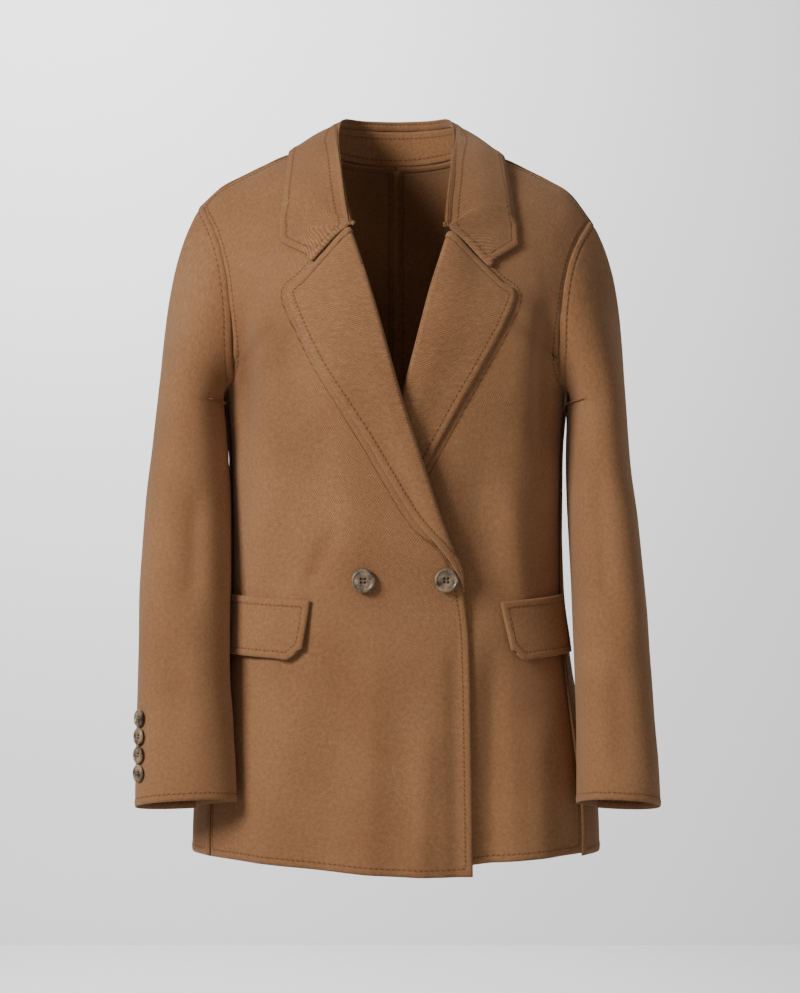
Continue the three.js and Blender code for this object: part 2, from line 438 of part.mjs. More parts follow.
// ---------------------------------------------------------------- sleeves
// Keeps a sleeve point clear of the body's outer face.
function clearOfBody(x, y, z, side) {
  const room = 4.4 + 5.6 * ease((z + 560) / 40) * ease((-430 - z) / 40);
  const a = half(z) + room, b = (y < 0 ? depthFront(z) : depthBack(z)) + room, own = x * side;
  const f = Math.abs(y) < b ? a * Math.pow(1 - Math.pow(Math.abs(y) / b, SECTION_POWER), 1 / SECTION_POWER) : 0;
  return side * Math.max(own, f);
}
function sleevePiece(name) {
  const S = SLEEVES[name], side = S.side, rows = S.rows, R = Object.fromEntries(["cx", "cy", "rx", "ry"].map((k) => [k, through([...rows].reverse(), "z", k)]));
  const armFront = armholeLoop(side, true), armBack = armholeLoop(side, false);
  const N = 28;
  // around: 0 at the shoulder point, 0.5 under the arm; the first half runs down the front
  const ring = (u) => {
    const front = u <= 0.5, k = front ? u * 2 : (1 - u) * 2;
    const [q, z] = (front ? armFront : armBack)(k);
    return bodyPoint(q, z, side);
  };
  const section = (u, z) => {
    const a = u * 2 * Math.PI, c = Math.cos(a), s = Math.sin(a);
    const x = side * (R.cx(z) + R.rx(z) * Math.sign(c) * Math.abs(c) ** 0.9), y = R.cy(z) - R.ry(z) * Math.sign(s) * Math.abs(s) ** 0.9;
    const drop = z < -600 ? ((-600 - z) / 63) : 0;
    const zz = z + 5 * clamp((-560 - z) / 60, 0, 1) - drop * (CUFF.tilt * (y - R.cy(z)) + CUFF.outerDrop * (x * side - R.cx(z)));
    return new THREE.Vector3(clearOfBody(x, y, z, side), y, zz);
  };
  const caps = [0, 0.08, 0.2, 0.35, 0.52, 0.7, 0.86];
  const levels = [-262, -305, -350, -395, -440, -485, -530, -575, -620, -663];
  const grid = [];
  for (const c of caps) {
    const row = [];
    for (let k = 0; k < N; k++) {
      const u = k / N, A = ring(u), B = section(u, -262), top = Math.cos(u * 2 * Math.PI);
      A.x += side * 1.1; A.z += u > 0.25 && u < 0.8 ? -0.8 : 0;
      const fall = clamp((A.z - B.z) / 190, 0, 1), len = A.distanceTo(B);
      const t0 = new THREE.Vector3(side * (0.95 - 0.4 * Math.max(0, top)), 0.25 * Math.sin(-u * 2 * Math.PI), -0.25 - 0.6 * Math.max(0, top)).normalize().multiplyScalar(len * lerp(0.7, 0.95, fall));
      const b2 = section(u, -262 - 12).sub(B).normalize().multiplyScalar(len * lerp(0.3, 0.9, fall));
      const h = c * c * (3 - 2 * c), c2 = c * c, c3 = c2 * c;
      const p = new THREE.Vector3().addScaledVector(A, 2 * c3 - 3 * c2 + 1).addScaledVector(t0, c3 - 2 * c2 + c).addScaledVector(B, 3 * c2 - 2 * c3).addScaledVector(b2, c3 - c2);
      if (c > 0 && p.z < -246) p.x = lerp(p.x, clearOfBody(p.x, p.y, p.z, side), clamp((-246 - p.z) / 6, 0, 1));
      row.push(p);
    }
    grid.push(row);
  }
  for (const z of levels) grid.push(spread(N - 1, (_, k) => section(k / N, z)));
  return cloth(grid, { flip: side < 0, closed: true });
}

// ---------------------------------------------------------------- collar
function neckSeam(side, along) {
  // 0 at the middle back, 0.5 at the shoulder seam, 1 at the gorge
  if (along <= 0.5) { const own = NECK_HALF * Math.sin(along * Math.PI), z = -10 * (1 - (own / NECK_HALF) ** 2); return bodyPoint(2 - qOf(own, z), z, side); }
  const [own, z] = path(NECK_TO_GORGE, "own", "z")((along - 0.5) * 2);
  return frontPoint(side, own, z);
}
function at3(rows, along, side) {
  const f = ["x", "y", "z"].map((k) => through(rows, "along", k)(along));
  return new THREE.Vector3(f[0] * side, f[1], f[2]);
}
function collarSection(side, along) {
  const name = side < 0 ? "right" : "left";
  const seam = neckSeam(side, along), top = at3(ROLL_LINE, along, side), edge = at3(FALL_EDGE[name], along, side), F = FRONTS[name];
  const low1 = ease((along - 0.7) / 0.3);
  if (low1 > 0) {
    top.lerp(frontPoint(side, F.gorge.own - 5, F.gorge.z + 4, 8), low1);
    seam.lerp(frontPoint(side, F.gorge.own + 5, F.gorge.z + 3, 1), ease((along - 0.8) / 0.2));
  }
  above(edge, CLOTH + LAP_GAP + 1.4); above(top, 4);
  if (along > 0.7) edge.lerp(frontPoint(side, Math.abs(edge.x), edge.z, 5.5), ease((along - 0.7) / 0.2));
  const out = edge.clone().sub(top); const flatOut = new THREE.Vector3(out.x, out.y, 0).normalize();
  const toEdge = out.clone().normalize(), toSeam = seam.clone().sub(top).normalize();
  const stand = seam.distanceTo(top), seamAt = Math.min(STAND_SEAM, stand * 0.6);
  const low = top.clone().addScaledVector(toSeam, seamAt);
  const rin = top.clone().addScaledVector(toSeam, COLLAR_ROLL * 0.75).addScaledVector(flatOut, -COLLAR_ROLL * 0.35);
  const rout = top.clone().addScaledVector(toEdge, COLLAR_ROLL * 1.1).addScaledVector(flatOut, COLLAR_ROLL * 0.55);
  const mid = top.clone().lerp(edge, 0.5); mid.addScaledVector(new THREE.Vector3(flatOut.x, flatOut.y, 0.8).normalize(), 3.5); above(mid, CLOTH + LAP_GAP + 3);
  return { seam, low, rin, top, rout, mid, edge, stand };
}
function standPiece() {
  const rows = [];
  const at = (side, along) => {
    const c = collarSection(side, along);
    const from = c.seam.clone().lerp(c.low, SEAM * 1.5 / c.stand), to = c.low.clone().lerp(c.seam, SEAM / c.stand);
    return spread(3, (t) => from.clone().lerp(to, t));
  };
  const steps = [0.5, 0.42, 0.33, 0.2383, 0.1108];
  for (const a of steps) rows.push(at(-1, a));
  rows.push(at(1, 0));
  for (const a of [...steps].reverse()) rows.push(at(1, a));
  return cloth(rows, { thick: CLOTH, flip: true });
}
function fallPiece() {
  const rows = [], arc = 3, flat = 5;
  const at = (side, along) => {
    const c = collarSection(side, along);
    const curve = new THREE.CatmullRomCurve3([c.low, c.rin, c.top, c.rout, c.mid, c.edge], false, "centripetal");
    return [0, 0.12, 0.2, 0.3, 0.45, 0.6, 0.8, 1].map((t) => curve.getPoint(t));
  };
  const gorge = (side, k) => {
    const name = side < 0 ? "right" : "left", F = FRONTS[name], tip = FALL_TIP[name];
    const end = collarSection(side, 1).edge;
    const s0 = [lerp(F.gorge.own, F.notch.own, k), lerp(F.gorge.z, F.notch.z, k) + 2.2];
    const e = [lerp(Math.abs(end.x), tip.own, k), lerp(end.z, tip.z, k)];
    const start = at(side, 1);
    return [0, 1, 2, 3, 4, 5, 6, 7].map((j) => {
      if (j < 3) return start[j].clone();
      const f = (j - 3) / 4, own = lerp(s0[0], e[0], f), z = lerp(s0[1], e[1], f);
      return frontPoint(side, own, z, 5.2 + 2.5 * (1 - f) * (1 - k));
    });
  };
  const steps = [1, 0.93, 0.85, 0.76, 0.68, 0.6, 0.53, 0.46, 0.4, 0.34, 0.28, 0.21, 0.14, 0.07];
  const ends = [1, 0.66, 0.33];
  for (const k of ends) rows.push(gorge(-1, k));
  for (const a of steps) rows.push(at(-1, a));
  rows.push(at(1, 0));
  for (const a of [...steps].reverse()) rows.push(at(1, a));
  for (const k of [...ends].reverse()) rows.push(gorge(1, k));
  const n = rows.length - 1;
  return cloth(rows, { flip: true, keep: (i, j) => j >= 3 || (i >= ends.length && i < n - ends.length) });
}

// ---------------------------------------------------------------- flaps, strip and buttons
function flapPiece(name) {
  const F = FLAPS[name], side = F.side, cols = 8, downs = 6;
  const rows = spread(downs, (t) => spread(cols, (w) => {
    const front = lerp(F.front.top, F.front.bottom, t), q0 = qOf(front, F.top), q1 = F.rear;
    let q = lerp(q0, q1, w);
    const top = lerp(F.top, F.rearTop, w), low = top - F.height;
    let z = lerp(top, low, t);
    // round lower corner at the front end
    const dx = (1 - clamp((w * (q1 - q0) * 190) / F.corner, 0, 1)), dz = 1 - clamp(((1 - t) * F.height) / F.corner, 0, 1);
    if (dx > 0 && dz > 0) z += F.corner * (1 - Math.sqrt(Math.max(0, 1 - dx * dx))) * dz;
    const own = half(z) * look(QUARTER, "q", "fx", q);
    return bodyPoint(q, z, side, lapRise(side, own, z) + CLOTH + 0.9 + 2.6 * ease(t));
  }));
  return cloth(rows, { flip: side < 0 });
}
function stripPiece() {
  const rows = spread(13, (t) => {
    const z = lerp(-711 + 2, -10 - 3, t), p = bodyBase(2, z, 1);
    const n = bodyPoint(2 - 1e-6, z, 1, 1).sub(new THREE.Vector3(...p)).normalize();
    return [-3.6, 3.6].map((x) => new THREE.Vector3(x, p[1], z).addScaledVector(n, -(CLOTH + 0.9)));
  });
  return cloth(rows, { thick: 1.4, flip: false });
}
function buttonGeometry(B) {
  const ring = (r, n, dir) => spread(n - 1, (_, i) => new THREE.Vector2(Math.cos((dir * i * 2 * Math.PI) / n) * r, Math.sin((dir * i * 2 * Math.PI) / n) * r));
  const profile = [[0, 0], [B.radius * 0.72, 0], [B.radius * 0.96, B.thick * 0.35], [B.radius, B.thick * 0.7], [B.radius - B.rim * 0.5, B.thick + B.rimRise * 0.4], [B.radius - B.rim, B.thick], [B.radius - B.rim * 1.6, B.thick - B.rimRise], [0, B.thick - B.rimRise]];
  const body = new THREE.LatheGeometry(profile.map(([r, y]) => new THREE.Vector2(r, y)), B.sides);
  body.rotateX(Math.PI / 2);
  let made = solid(body);
  if (made.volume() < 0) throw new Error("button profile is inside out");
  for (const [sx, sy] of [[1, 1], [1, -1], [-1, 1], [-1, -1]]) {
    const drill = new THREE.CylinderGeometry(B.hole, B.hole, B.thick * 3, 6);
    drill.rotateX(Math.PI / 2); drill.translate((sx * B.pitch) / 2, (sy * B.pitch) / 2, 0);
    made = made.subtract(solid(drill));
  }
  return geometryOf(made);
}
function placed(geometry, at, normal) {
  const m = new THREE.Matrix4().compose(at, new THREE.Quaternion().setFromUnitVectors(new THREE.Vector3(0, 0, 1), normal), new THREE.Vector3(1, 1, 1));
  return geometry.clone().applyMatrix4(m);
}

// Cuts a piece back so that it clears its neighbours by a seam's gap, and keeps its main body.
function clearOf(geometry, ...others) {
  let made = solid(geometry);
  for (const other of others) {
    const s = solid(other);
    for (const [x, y, z] of [[0, 0, 0], [1, 0, 0], [-1, 0, 0], [0, 1, 0], [0, -1, 0], [0, 0, 1], [0, 0, -1]]) made = made.subtract(s.translate([x * SEAM * 1.3, y * SEAM * 1.3, z * SEAM * 1.3]));
  }
  return geometryOf(made.simplify(0.05).decompose().sort((a, b) => b.volume() - a.volume())[0].simplify(0.05));
}

// ---------------------------------------------------------------- the coat
const wool = (tone) => new THREE.MeshStandardMaterial({ color: tone, roughness: 0.95, metalness: 0, side: THREE.DoubleSide });
const horn = () => new THREE.MeshStandardMaterial({ color: 0x6b5646, roughness: 0.35, metalness: 0 });
const coat = new THREE.Group();
coat.name = "short_coat";
function add(name, geometry, material) {
  const mesh = new THREE.Mesh(geometry, material);
  mesh.name = name;
  coat.add(mesh);
  return mesh;
}
const made = {
  front_right: frontPiece("right"), front_left: frontPiece("left"), back_right: backPiece(-1), back_left: backPiece(1),
  pocket_flap_right: flapPiece("right"), pocket_flap_left: flapPiece("left"), back_seam_strip: stripPiece(),
};
const shell = [made.front_right, made.front_left, made.back_right, made.back_left];
made.collar_fall = clearOf(fallPiece(), ...shell);
made.collar_stand = clearOf(standPiece(), ...shell, made.collar_fall);
made.sleeve_right = clearOf(sleevePiece("right"), made.front_right, made.back_right, made.pocket_flap_right);
made.sleeve_left = clearOf(sleevePiece("left"), made.front_left, made.back_left, made.pocket_flap_left);
for (const [name, tone] of Object.entries({
  front_right: 0x9a6236, front_left: 0x9a6236, back_right: 0x965f34, back_left: 0x965f34, sleeve_right: 0x9c6539, sleeve_left: 0x9c6539,
  collar_stand: 0x8d5930, collar_fall: 0x9f673b, pocket_flap_right: 0x9a6236, pocket_flap_left: 0x9a6236, back_seam_strip: 0x8a5730,
})) add(name, made[name], wool(tone));

const frontButton = buttonGeometry(FRONT_BUTTON), cuffButton = buttonGeometry(CUFF_BUTTON);
for (const [name, b] of [["button_front_outer", BUTTONS.outer], ["button_front_inner", BUTTONS.inner]]) {
  const own = -b.x, p = frontPoint(-1, own, b.z), q = frontPoint(-1, own, b.z, 10).sub(p).normalize();
  add(name, placed(frontButton, p.clone().addScaledVector(q, 1.6), q), horn());
}
for (const name of ["right", "left"]) {
  const S = SLEEVES[name], side = S.side;
  const R = Object.fromEntries(["cx", "cy", "rx", "ry"].map((k) => [k, through([...S.rows].reverse(), "z", k)]));
  const turn = name === "right" ? -0.56 : 0.55; // angle of the button row behind the outer side
  for (let i = 0; i < BUTTONS.cuffCount; i++) {
    const z = -663 + BUTTONS.cuffLowest + i * BUTTONS.cuffPitch;
    const a = -turn, at = (ang, zz) => new THREE.Vector3(side * (R.cx(zz) + R.rx(zz) * Math.sign(Math.cos(ang)) * Math.abs(Math.cos(ang)) ** 0.9), R.cy(zz) - R.ry(zz) * Math.sign(Math.sin(ang)) * Math.abs(Math.sin(ang)) ** 0.9, zz);
    const p = at(a, z), u = at(a + 0.05, z).sub(at(a - 0.05, z)), v = at(a, z + 2).sub(at(a, z - 2));
    const n = u.cross(v).normalize(); if (n.x * side < 0) n.negate();
    add(`button_cuff_${name}_${i + 1}`, placed(cuffButton, p.addScaledVector(n, 1.3), n), horn());
  }
}

export default coat;
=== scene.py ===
import math
import bpy
import numpy as np
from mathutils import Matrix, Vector, kdtree


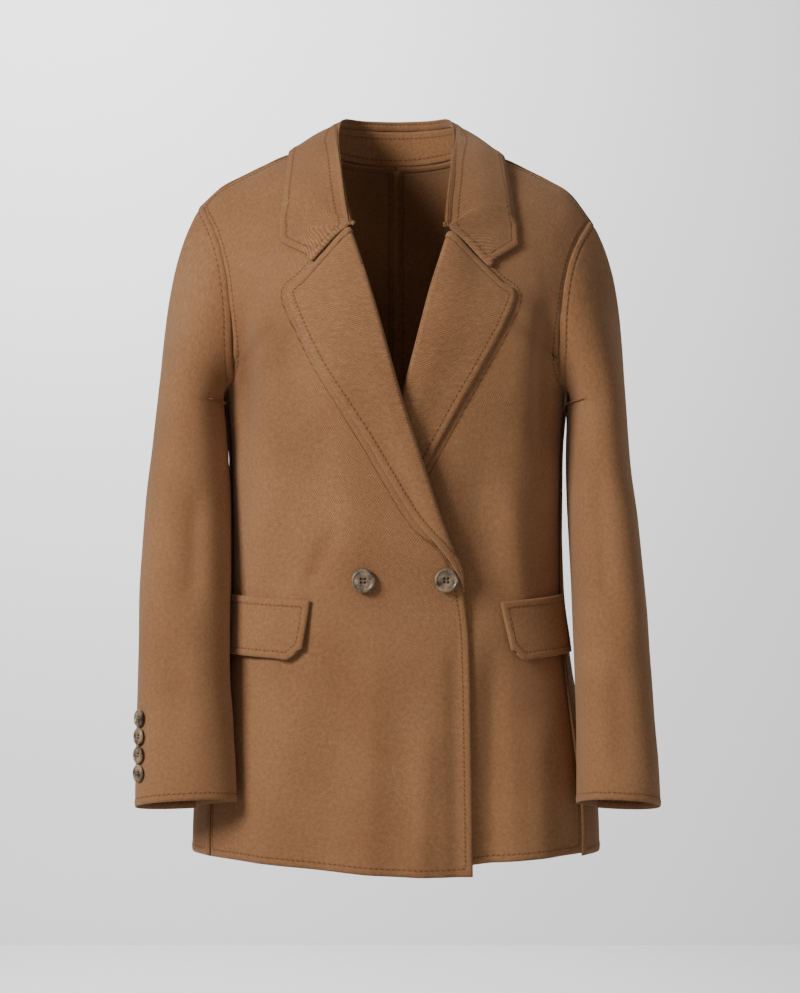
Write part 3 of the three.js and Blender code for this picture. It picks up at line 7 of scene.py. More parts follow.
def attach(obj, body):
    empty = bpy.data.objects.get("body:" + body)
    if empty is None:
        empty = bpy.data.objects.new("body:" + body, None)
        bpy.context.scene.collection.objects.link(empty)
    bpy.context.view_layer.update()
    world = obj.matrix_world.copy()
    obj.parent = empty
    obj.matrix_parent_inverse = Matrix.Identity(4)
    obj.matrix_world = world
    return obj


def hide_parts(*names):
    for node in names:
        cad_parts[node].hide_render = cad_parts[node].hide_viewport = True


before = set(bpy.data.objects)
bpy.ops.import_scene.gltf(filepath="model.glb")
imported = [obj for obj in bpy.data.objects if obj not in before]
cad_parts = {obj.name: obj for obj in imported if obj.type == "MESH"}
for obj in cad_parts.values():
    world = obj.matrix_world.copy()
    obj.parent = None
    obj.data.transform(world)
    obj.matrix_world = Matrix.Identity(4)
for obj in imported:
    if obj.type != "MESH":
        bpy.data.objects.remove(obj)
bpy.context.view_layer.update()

# Section grids of each piece's outer face, in millimetres.
GRIDS = {
    "front_right": dict(flip=False, closed=False, fine=(12, 4), keep=["1111111111111111110000000000", "1111111111111111110000000000", "1111111111111111110000000000", "1111111111111111110000000000", "1111111111111111110000000000", "1111111111111111110000000000", "1111111111111111111111111111", "1111111111111111111111111111", "1111111111111111111111111111", "1111111111111111111111111111", "1111111111111111111111111111", "1111111111111111111111111111", "1111111111111111111111111111", "1111111111111111111111111111", "1111111111111111111111111111", "1111111111111111111111111111", "1111111111111111111111111111", "1111111111111111111111111111", "1111111111111111111111111111"], rows=[[[-185.3,-66,-711.5],[-174.2,-77.4,-711.7],[-161.6,-87.5,-712.2],[-148.2,-97.1,-713],[-133.9,-106,-714.1],[-117.9,-111.1,-715.3],[-101.2,-112.9,-716.7],[-84.5,-113.9,-718.1],[-68.2,-116.3,-719.6],[-57.4,-119.3,-720.5],[-46.5,-122,-721.4],[-29.9,-123.8,-722.7],[-13.2,-124.3,-723.8],[3.4,-124.3,-724.6],[20,-124.2,-725.2],[33.9,-123.8,-725.4],[47.8,-123.1,-725.5],[61.7,-121.5,-725.5],[75.4,-118.4,-725.5],[75.4,-118.4,-725.5],[75.4,-118.4,-725.5],[75.4,-118.4,-725.5],[75.4,-118.4,-725.5],[75.4,-118.4,-725.5],[75.4,-118.4,-725.5],[75.4,-118.4,-725.5],[75.4,-118.4,-725.5],[75.4,-118.4,-725.5]],[[-185,-64.1,-666.1],[-173.6,-76.2,-665.3],[-160.6,-86.5,-665.2],[-146.9,-96.1,-665.4],[-132.5,-105.2,-665.9],[-116.5,-110.9,-666.6],[-99.6,-113,-667.5],[-82.7,-113.8,-668.5],[-66.2,-115.8,-669.5],[-55.2,-118.7,-670.2],[-44.2,-121.4,-671],[-28.1,-123.2,-673],[-11.9,-123.6,-674.9],[4.3,-123.7,-676.6],[20.5,-123.5,-678],[34.1,-123.2,-678.9],[47.8,-122.4,-679.6],[61.4,-121,-680.3],[74.9,-118,-681],[74.9,-118,-681],[74.9,-118,-681],[74.9,-118,-681],[74.9,-118,-681],[74.9,-118,-681],[74.9,-118,-681],[74.9,-118,-681],[74.9,-118,-681],[74.9,-118,-681]],[[-179.5,-58.7,-614.2],[-168.3,-72.3,-612.3],[-155.6,-83.6,-611.5],[-142,-93.7,-611],[-127.6,-102.9,-610.9],[-111.8,-109,-611],[-95.2,-111.8,-611.3],[-78.4,-112.8,-611.7],[-62.1,-115,-612.2],[-51.3,-117.9,-612.6],[-40.4,-120.5,-613.4],[-25.2,-122.1,-616.3],[-9.9,-122.5,-619.1],[5.6,-122.6,-621.7],[21.2,-122.5,-624],[34.4,-122.1,-625.7],[47.7,-121.4,-627.2],[61,-119.9,-628.7],[74.2,-117,-630.1],[74.2,-117,-630.1],[74.2,-117,-630.1],[74.2,-117,-630.1],[74.2,-117,-630.1],[74.2,-117,-630.1],[74.2,-117,-630.1],[74.2,-117,-630.1],[74.2,-117,-630.1],[74.2,-117,-630.1]],[[-172.5,-51.4,-562.3],[-162.1,-66.6,-559.3],[-149.7,-79,-557.7],[-135.9,-89,-556.7],[-121.2,-97,-556],[-105.9,-103.5,-555.4],[-90.2,-108.9,-555.1],[-74,-112,-554.9],[-57.8,-114.7,-555],[-47.1,-117.1,-555.1],[-36.3,-119,-555.7],[-21.9,-120.3,-559.6],[-7.4,-120.7,-563.3],[7.3,-120.8,-566.8],[22.2,-120.7,-570.1],[34.8,-120.3,-572.5],[47.6,-119.5,-574.8],[60.6,-118.2,-577],[73.4,-115.7,-579.2],[73.4,-115.7,-579.2],[73.4,-115.7,-579.2],[73.4,-115.7,-579.2],[73.4,-115.7,-579.2],[73.4,-115.7,-579.2],[73.4,-115.7,-579.2],[73.4,-115.7,-579.2],[73.4,-115.7,-579.2],[73.4,-115.7,-579.2]],[[-167.3,-44.7,-510.4],[-157.8,-61.4,-506.2],[-146,-74.9,-504],[-132.4,-85.7,-502.4],[-117.7,-94.1,-501],[-102.7,-101.4,-499.8],[-87.3,-108.1,-498.8],[-71.3,-113,-498.1],[-55,-115.6,-497.7],[-44.1,-116.9,-497.5],[-33.2,-117.8,-498.1],[-19.4,-118.5,-502.9],[-5.5,-118.8,-507.5],[8.5,-119,-512],[22.9,-118.8,-516.1],[35,-118.4,-519.4],[47.4,-117.6,-522.4],[59.9,-116.3,-525.4],[72.5,-114.5,-528.4],[72.5,-114.5,-528.4],[72.5,-114.5,-528.4],[72.5,-114.5,-528.4],[72.5,-114.5,-528.4],[72.5,-114.5,-528.4],[72.5,-114.5,-528.4],[72.5,-114.5,-528.4],[72.5,-114.5,-528.4],[72.5,-114.5,-528.4]],[[-165.1,-38.5,-465],[-156.7,-56.5,-459.9],[-145.4,-71,-457],[-132,-82.5,-454.8],[-117.3,-91.5,-452.9],[-102.3,-99.3,-451.2],[-87.1,-107.1,-449.7],[-71.2,-113.7,-448.4],[-54.8,-118,-447.6],[-43.7,-119.8,-447.1],[-32.6,-120.5,-447.7],[-19,-120,-453.2],[-5.4,-119.2,-458.7],[8.3,-118.5,-463.9],[22.3,-117.7,-469],[34.1,-117,-472.9],[46.2,-116,-476.6],[58.4,-114.8,-480.3],[70.7,-113,-483.9],[70.7,-113,-483.9],[70.7,-113,-483.9],[70.7,-113,-483.9],[70.7,-113,-483.9],[70.7,-113,-483.9],[70.7,-113,-483.9],[70.7,-113,-483.9],[70.7,-113,-483.9],[70.7,-113,-483.9]],[[-164.7,-33.1,-426.1],[-157.4,-52.1,-420.1],[-146.9,-67.6,-416.7],[-134.1,-80,-414.1],[-119.8,-89.8,-411.7],[-104.7,-97.8,-409.6],[-89.7,-106.1,-407.6],[-73.8,-112.5,-406],[-57.8,-119.5,-404.9],[-46.8,-123.6,-404.2],[-35.6,-125.3,-404.7],[-22.3,-125.9,-411],[-8.9,-126.1,-417.1],[4.4,-125.7,-423],[18.1,-124.8,-428.7],[29.7,-123.6,-433.2],[41.5,-122,-437.5],[53.5,-119.9,-441.7],[65.4,-117.2,-445.9],[65.4,-117.2,-445.9],[65.4,-117.2,-445.9],[65.4,-117.2,-445.9],[65.4,-117.2,-445.9],[65.4,-117.2,-445.9],[65.4,-117.2,-445.9],[65.4,-117.2,-445.9],[65.4,-117.2,-445.9],[65.4,-117.2,-445.9]],[[-164.9,-29.9,-403.4],[-158.4,-49.3,-396.9],[-148.7,-65.3,-393.2],[-136.6,-78.4,-390.3],[-123,-89.2,-387.7],[-108,-97.2,-385.3],[-92.9,-104.6,-383.2],[-77.2,-110.6,-381.3],[-61.5,-117.3,-380],[-50.9,-122.5,-379.3],[-39.9,-125.2,-379.7],[-27.1,-126.1,-386.4],[-14.2,-126.3,-392.9],[-1.2,-126.3,-399.3],[11.9,-126.2,-405.4],[23.1,-125.9,-410.3],[34.7,-125.3,-414.9],[46.5,-124.2,-419.5],[58.2,-122.1,-424.1],[59.7,-122.2,-423.5],[61,-123,-423.1],[61.8,-124.3,-422.9],[61.9,-125.9,-422.9],[61.1,-126.3,-423.1],[60.2,-126.7,-423.3],[59.3,-127.1,-423.6],[58.4,-127.5,-423.8],[57.5,-127.9,-424]],[[-165.3,-26.5,-380.7],[-159.6,-46.3,-373.8],[-150.7,-62.7,-369.8],[-139.6,-76.6,-366.7],[-126.9,-88.6,-363.8],[-112.1,-96.9,-361.2],[-96.8,-103.5,-358.8],[-81.4,-109.6,-356.7],[-65.9,-115.7,-355.3],[-55.7,-121.2,-354.5],[-45,-125,-355],[-32.7,-126.3,-362],[-20.3,-126.7,-369],[-7.7,-126.7,-375.8],[4.8,-126.6,-382.4],[15.6,-126.4,-387.6],[26.7,-126,-392.7],[38,-125.3,-397.6],[49.4,-124.1,-402.5],[51.5,-124.5,-401.8],[52.8,-126.1,-401.4],[52.9,-128.3,-401.5],[51.7,-130,-402],[49.7,-130.6,-402.3],[47.8,-131.1,-402.5],[45.9,-131.5,-402.8],[44,-132,-403],[42.1,-132.4,-403.3]],[[-166,-21.6,-348.3],[-161.5,-42.1,-340.7],[-153.7,-59.2,-336.3],[-143.7,-74.1,-332.8],[-132.2,-87.5,-329.7],[-118.1,-97.2,-326.7],[-102.5,-103.2,-324],[-87.5,-109.4,-321.5],[-72.2,-115,-319.8],[-62.2,-120.2,-319],[-51.9,-125.3,-319.6],[-40.4,-127.5,-327.3],[-28.5,-127.8,-334.9],[-16.6,-127.7,-342.2],[-4.5,-127.5,-349.3],[5.6,-127.2,-355],[16.2,-127,-360.5],[26.9,-126.5,-365.9],[37.7,-125.8,-371.4],[40,-126.6,-370.7],[41.2,-128.8,-370.4],[40.4,-131.1,-370.7],[38.2,-132.2,-371.5],[33.9,-132.1,-372],[29.6,-130,-372.5],[25.3,-128.2,-373],[21.2,-127.9,-373.5],[17,-128,-374.1]],[[-167.2,-16.2,-309.4],[-163.5,-37.4,-300.9],[-155.8,-54.9,-296],[-146.4,-69.9,-292],[-137.1,-85,-288.5],[-124.7,-97.1,-285.1],[-109.5,-103.9,-281.9],[-94.6,-110.1,-279],[-79.8,-116.9,-277],[-69.8,-121.7,-275.9],[-59.7,-126.5,-276.4],[-48.8,-129.5,-285],[-37.5,-130.5,-293.2],[-26.1,-130.6,-301.3],[-14.5,-130.3,-309.2],[-4.8,-129.9,-315.6],[5.1,-129.4,-321.7],[15.3,-128.8,-327.7],[25.5,-128.1,-333.7],[27.8,-128.9,-333.2],[28.8,-131.1,-333],[28,-133.4,-333.3],[25.8,-134.3,-334],[19.3,-134.2,-334.6],[12.8,-132,-335.2],[6.4,-130,-335.7],[0.2,-129.7,-336.3],[-6.1,-129.6,-337]],[[-169.8,-10.9,-270.5],[-167.6,-33,-261.1],[-160.8,-51,-255.6],[-151,-65.6,-251],[-142.8,-80.6,-247.1],[-133.3,-95.2,-243.5],[-119.5,-104.3,-239.9],[-104.3,-109.6,-236.5],[-89.8,-116.7,-234.1],[-80.1,-122.2,-232.7],[-69.7,-127.2,-233.1],[-58.4,-130.6,-242.1],[-47.4,-132.8,-251.2],[-36.2,-133.5,-260.2],[-25,-133.5,-268.9],[-15.5,-133.1,-275.9],[-5.9,-132.6,-282.7],[3.7,-132,-289.3],[13.4,-131.3,-295.8],[15.5,-132.2,-295.2],[16.4,-134.4,-295],[15.6,-136.6,-295.4],[13.5,-137.4,-296.1],[5.1,-137.1,-296.6],[-3.2,-134.9,-297.2],[-11.5,-132.9,-297.7],[-19.9,-132.4,-298.3],[-28.3,-132,-298.9]],[[-170.1,-33.3,-245.4],[-165.8,-52.6,-234.3],[-157.7,-66.6,-227.2],[-149,-78.3,-221.5],[-141.5,-91.6,-216.6],[-131.4,-102.8,-211.7],[-118.2,-109,-206.7],[-104.1,-112.7,-202],[-90.2,-118.4,-198.4],[-80.8,-122.8,-196.2],[-70.9,-126.8,-196],[-61.2,-130.1,-205],[-51.4,-132.7,-213.8],[-41.4,-134.3,-222.5],[-31.5,-134.9,-231],[-23.3,-135.1,-237.9],[-15.1,-135.1,-244.5],[-6.9,-135,-251.1],[1.1,-134.7,-257.8],[3.1,-135.6,-257.2],[4,-137.7,-257],[3.1,-139.8,-257.3],[1.1,-140.6,-257.9],[-9.4,-140.2,-258.7],[-20.1,-137.9,-259.4],[-30.8,-135.6,-260.1],[-41.6,-134.4,-260.8],[-52.4,-132.4,-261.6]],[[-162.9,-67.6,-215.8],[-154.2,-78.2,-203.4],[-146,-88.4,-195.8],[-137.4,-98.8,-189],[-126.1,-105.1,-182.4],[-113.5,-108.1,-176.2],[-101.2,-111,-170.2],[-89.2,-114.8,-164.5],[-77.2,-118.9,-159.6],[-68.8,-121.2,-156.7],[-60.1,-123.4,-156],[-54.1,-127.4,-165.2],[-47.6,-130,-174.7],[-41.2,-131.6,-183.5],[-34.5,-132.9,-192.2],[-28.5,-133.7,-199.2],[-22.2,-134.4,-205.9],[-15.8,-135,-212.5],[-9.7,-135.3,-219.1],[-7.7,-136.2,-218.6],[-6.9,-138.2,-218.4],[-7.7,-140.2,-218.7],[-9.7,-141.1,-219.2],[-23,-140.6,-220.2],[-36.2,-138,-221.1],[-49.5,-134.9,-222.1],[-62.7,-131.4,-223.1],[-75.7,-126.4,-224.1]],[[-164.6,-72.2,-169.4],[-152.1,-79.3,-156.7],[-141.2,-86.5,-148.4],[-129.6,-90.9,-141.6],[-117.8,-93.4,-135.1],[-106.2,-95.7,-128.8],[-94.9,-97.9,-122.7],[-83.7,-99.9,-116.9],[-72.6,-102.5,-112.3],[-64.7,-103.8,-109.6],[-56.8,-105.7,-109.1],[-52.9,-111.1,-119.3],[-48.9,-116,-129.4],[-44.5,-120.5,-139.3],[-39.6,-124.7,-149.1],[-35.2,-127.6,-157.2],[-30.2,-129.8,-165.3],[-25.2,-131,-173],[-20.3,-132.1,-180.6],[-18.4,-132.9,-180.1],[-17.6,-134.8,-179.8],[-18.5,-136.8,-180],[-20.5,-137.7,-180.6],[-35.6,-137,-181.4],[-50.8,-133.9,-182.3],[-65.7,-129.4,-183.2],[-80.8,-124,-183.8],[-95.1,-117.5,-184.7]],[[-170.4,-60.4,-127.3],[-156.8,-65.1,-114.4],[-144.3,-68.9,-106.6],[-132.3,-71.7,-99.9],[-120.6,-73.7,-93.6],[-109,-75.2,-87.5],[-97.6,-75.9,-81.7],[-86.2,-76,-76.4],[-74.7,-77.5,-72.2],[-67.1,-78.9,-69.7],[-59.4,-81.4,-69.6],[-56.8,-89.2,-80.7],[-53.9,-96.8,-91.7],[-50.5,-103.8,-102.6],[-46.6,-109.8,-113.4],[-42.8,-114.2,-122.3],[-38.6,-118.2,-131],[-34.2,-121.9,-139.5],[-29.8,-125.2,-148],[-27.9,-126,-147.4],[-27.3,-127.8,-147],[-28.2,-129.7,-147],[-30.2,-130.5,-147.4],[-46.1,-128.9,-148.3],[-61.7,-124.2,-149.4],[-76.9,-117.9,-150.6],[-91.4,-111.6,-151.8],[-106.4,-105.8,-152.9]],[[-179.6,-41.7,-94.4],[-165.8,-44.3,-81.3],[-152.9,-47.1,-73.5],[-140.5,-49.4,-67],[-128.4,-51,-60.8],[-116.4,-52.1,-54.8],[-104.6,-52.6,-49.3],[-92.9,-52.2,-44.1],[-81.1,-52.7,-40.1],[-73.4,-54.7,-37.7],[-65.6,-58.3,-37.8],[-63.1,-67.8,-50],[-60.4,-76.4,-62.1],[-57.3,-84.8,-74],[-53.8,-93,-85.5],[-50.3,-99.5,-94.9],[-46.3,-105.4,-104.2],[-42,-110.6,-113.4],[-37.6,-115,-122.6],[-35.9,-115.8,-121.9],[-35.3,-117.6,-121.4],[-36.3,-119.3,-121.3],[-38.3,-120,-121.8],[-49.9,-119.3,-125.1],[-61.2,-116.4,-128.7],[-72.3,-113,-132.3],[-82.9,-109.5,-135.9],[-93.8,-106.4,-139.5]],[[-188.3,-25.3,-75.1],[-174.5,-27.2,-61.9],[-161.6,-29.1,-54],[-149,-30.8,-47.5],[-136.6,-32.1,-41.3],[-124.3,-33,-35.4],[-112.1,-33.5,-29.8],[-100,-33.2,-24.6],[-87.9,-33.3,-20.7],[-79.9,-33.9,-18.3],[-71.9,-39.1,-18.5],[-69.3,-51.5,-31.2],[-66.5,-62.3,-43.8],[-63.1,-71.9,-56.3],[-59.3,-80.7,-68.5],[-55.8,-88,-78.4],[-51.7,-95,-87.9],[-47.3,-101.6,-97.4],[-42.9,-107.4,-106.9],[-41.2,-108.2,-106.2],[-40.7,-109.9,-105.6],[-41.7,-111.6,-105.5],[-43.7,-112.3,-105.9],[-52.5,-112.6,-110.8],[-61.1,-111.2,-115.9],[-69.5,-109.3,-121],[-78,-107.8,-126],[-86,-106.3,-131]],[[-194.2,-12.9,-64.6],[-181.1,-14.6,-51.2],[-168.2,-15.6,-43.3],[-155.6,-16.6,-36.7],[-143,-17.5,-30.4],[-130.5,-18,-24.4],[-118.1,-18.3,-18.8],[-105.6,-18.3,-13.6],[-93.2,-18.2,-9.6],[-85,-18.5,-7.2],[-76.7,-23.9,-7.5],[-73.9,-39.7,-20.4],[-70.9,-52.4,-33.2],[-67.3,-63.4,-45.9],[-63.2,-73.1,-58.4],[-59.4,-80.7,-68.6],[-55.1,-88.1,-78.4],[-50.6,-95.3,-88],[-46,-102,-97.6],[-44.4,-102.7,-96.9],[-43.9,-104.3,-96.3],[-45,-106,-96.1],[-46.9,-106.6,-96.6],[-54.2,-108,-102.3],[-61,-107.6,-108.3],[-67.8,-106.9,-114.3],[-74.8,-106.7,-120.1],[-81.5,-106.1,-125.9]],[[-198,-1.1,-57.7],[-185.4,-1.3,-44.2],[-172.7,-1.4,-36.2],[-160.1,-1.4,-29.6],[-147.4,-1.4,-23.3],[-134.8,-1.4,-17.2],[-122.1,-1.4,-11.5],[-109.5,-1.3,-6.3],[-96.9,-1.3,-2.3],[-88.4,-1.2,0.1],[-80,-9.6,-0.1],[-77.1,-30.4,-13.2],[-73.9,-44.9,-26.2],[-70.1,-57.1,-39],[-65.9,-67.8,-51.6],[-61.9,-75.8,-62],[-57.5,-83.4,-72],[-52.8,-90.9,-81.7],[-48.1,-98,-91.5],[-46.4,-98.7,-90.7],[-46,-100.3,-90.1],[-47.1,-101.9,-90],[-49.1,-102.6,-90.4],[-55.2,-104.6,-96.6],[-61,-104.9,-103.2],[-66.7,-105.1,-109.8],[-72.7,-105.8,-116.1],[-78.6,-106.1,-122.5]]]),
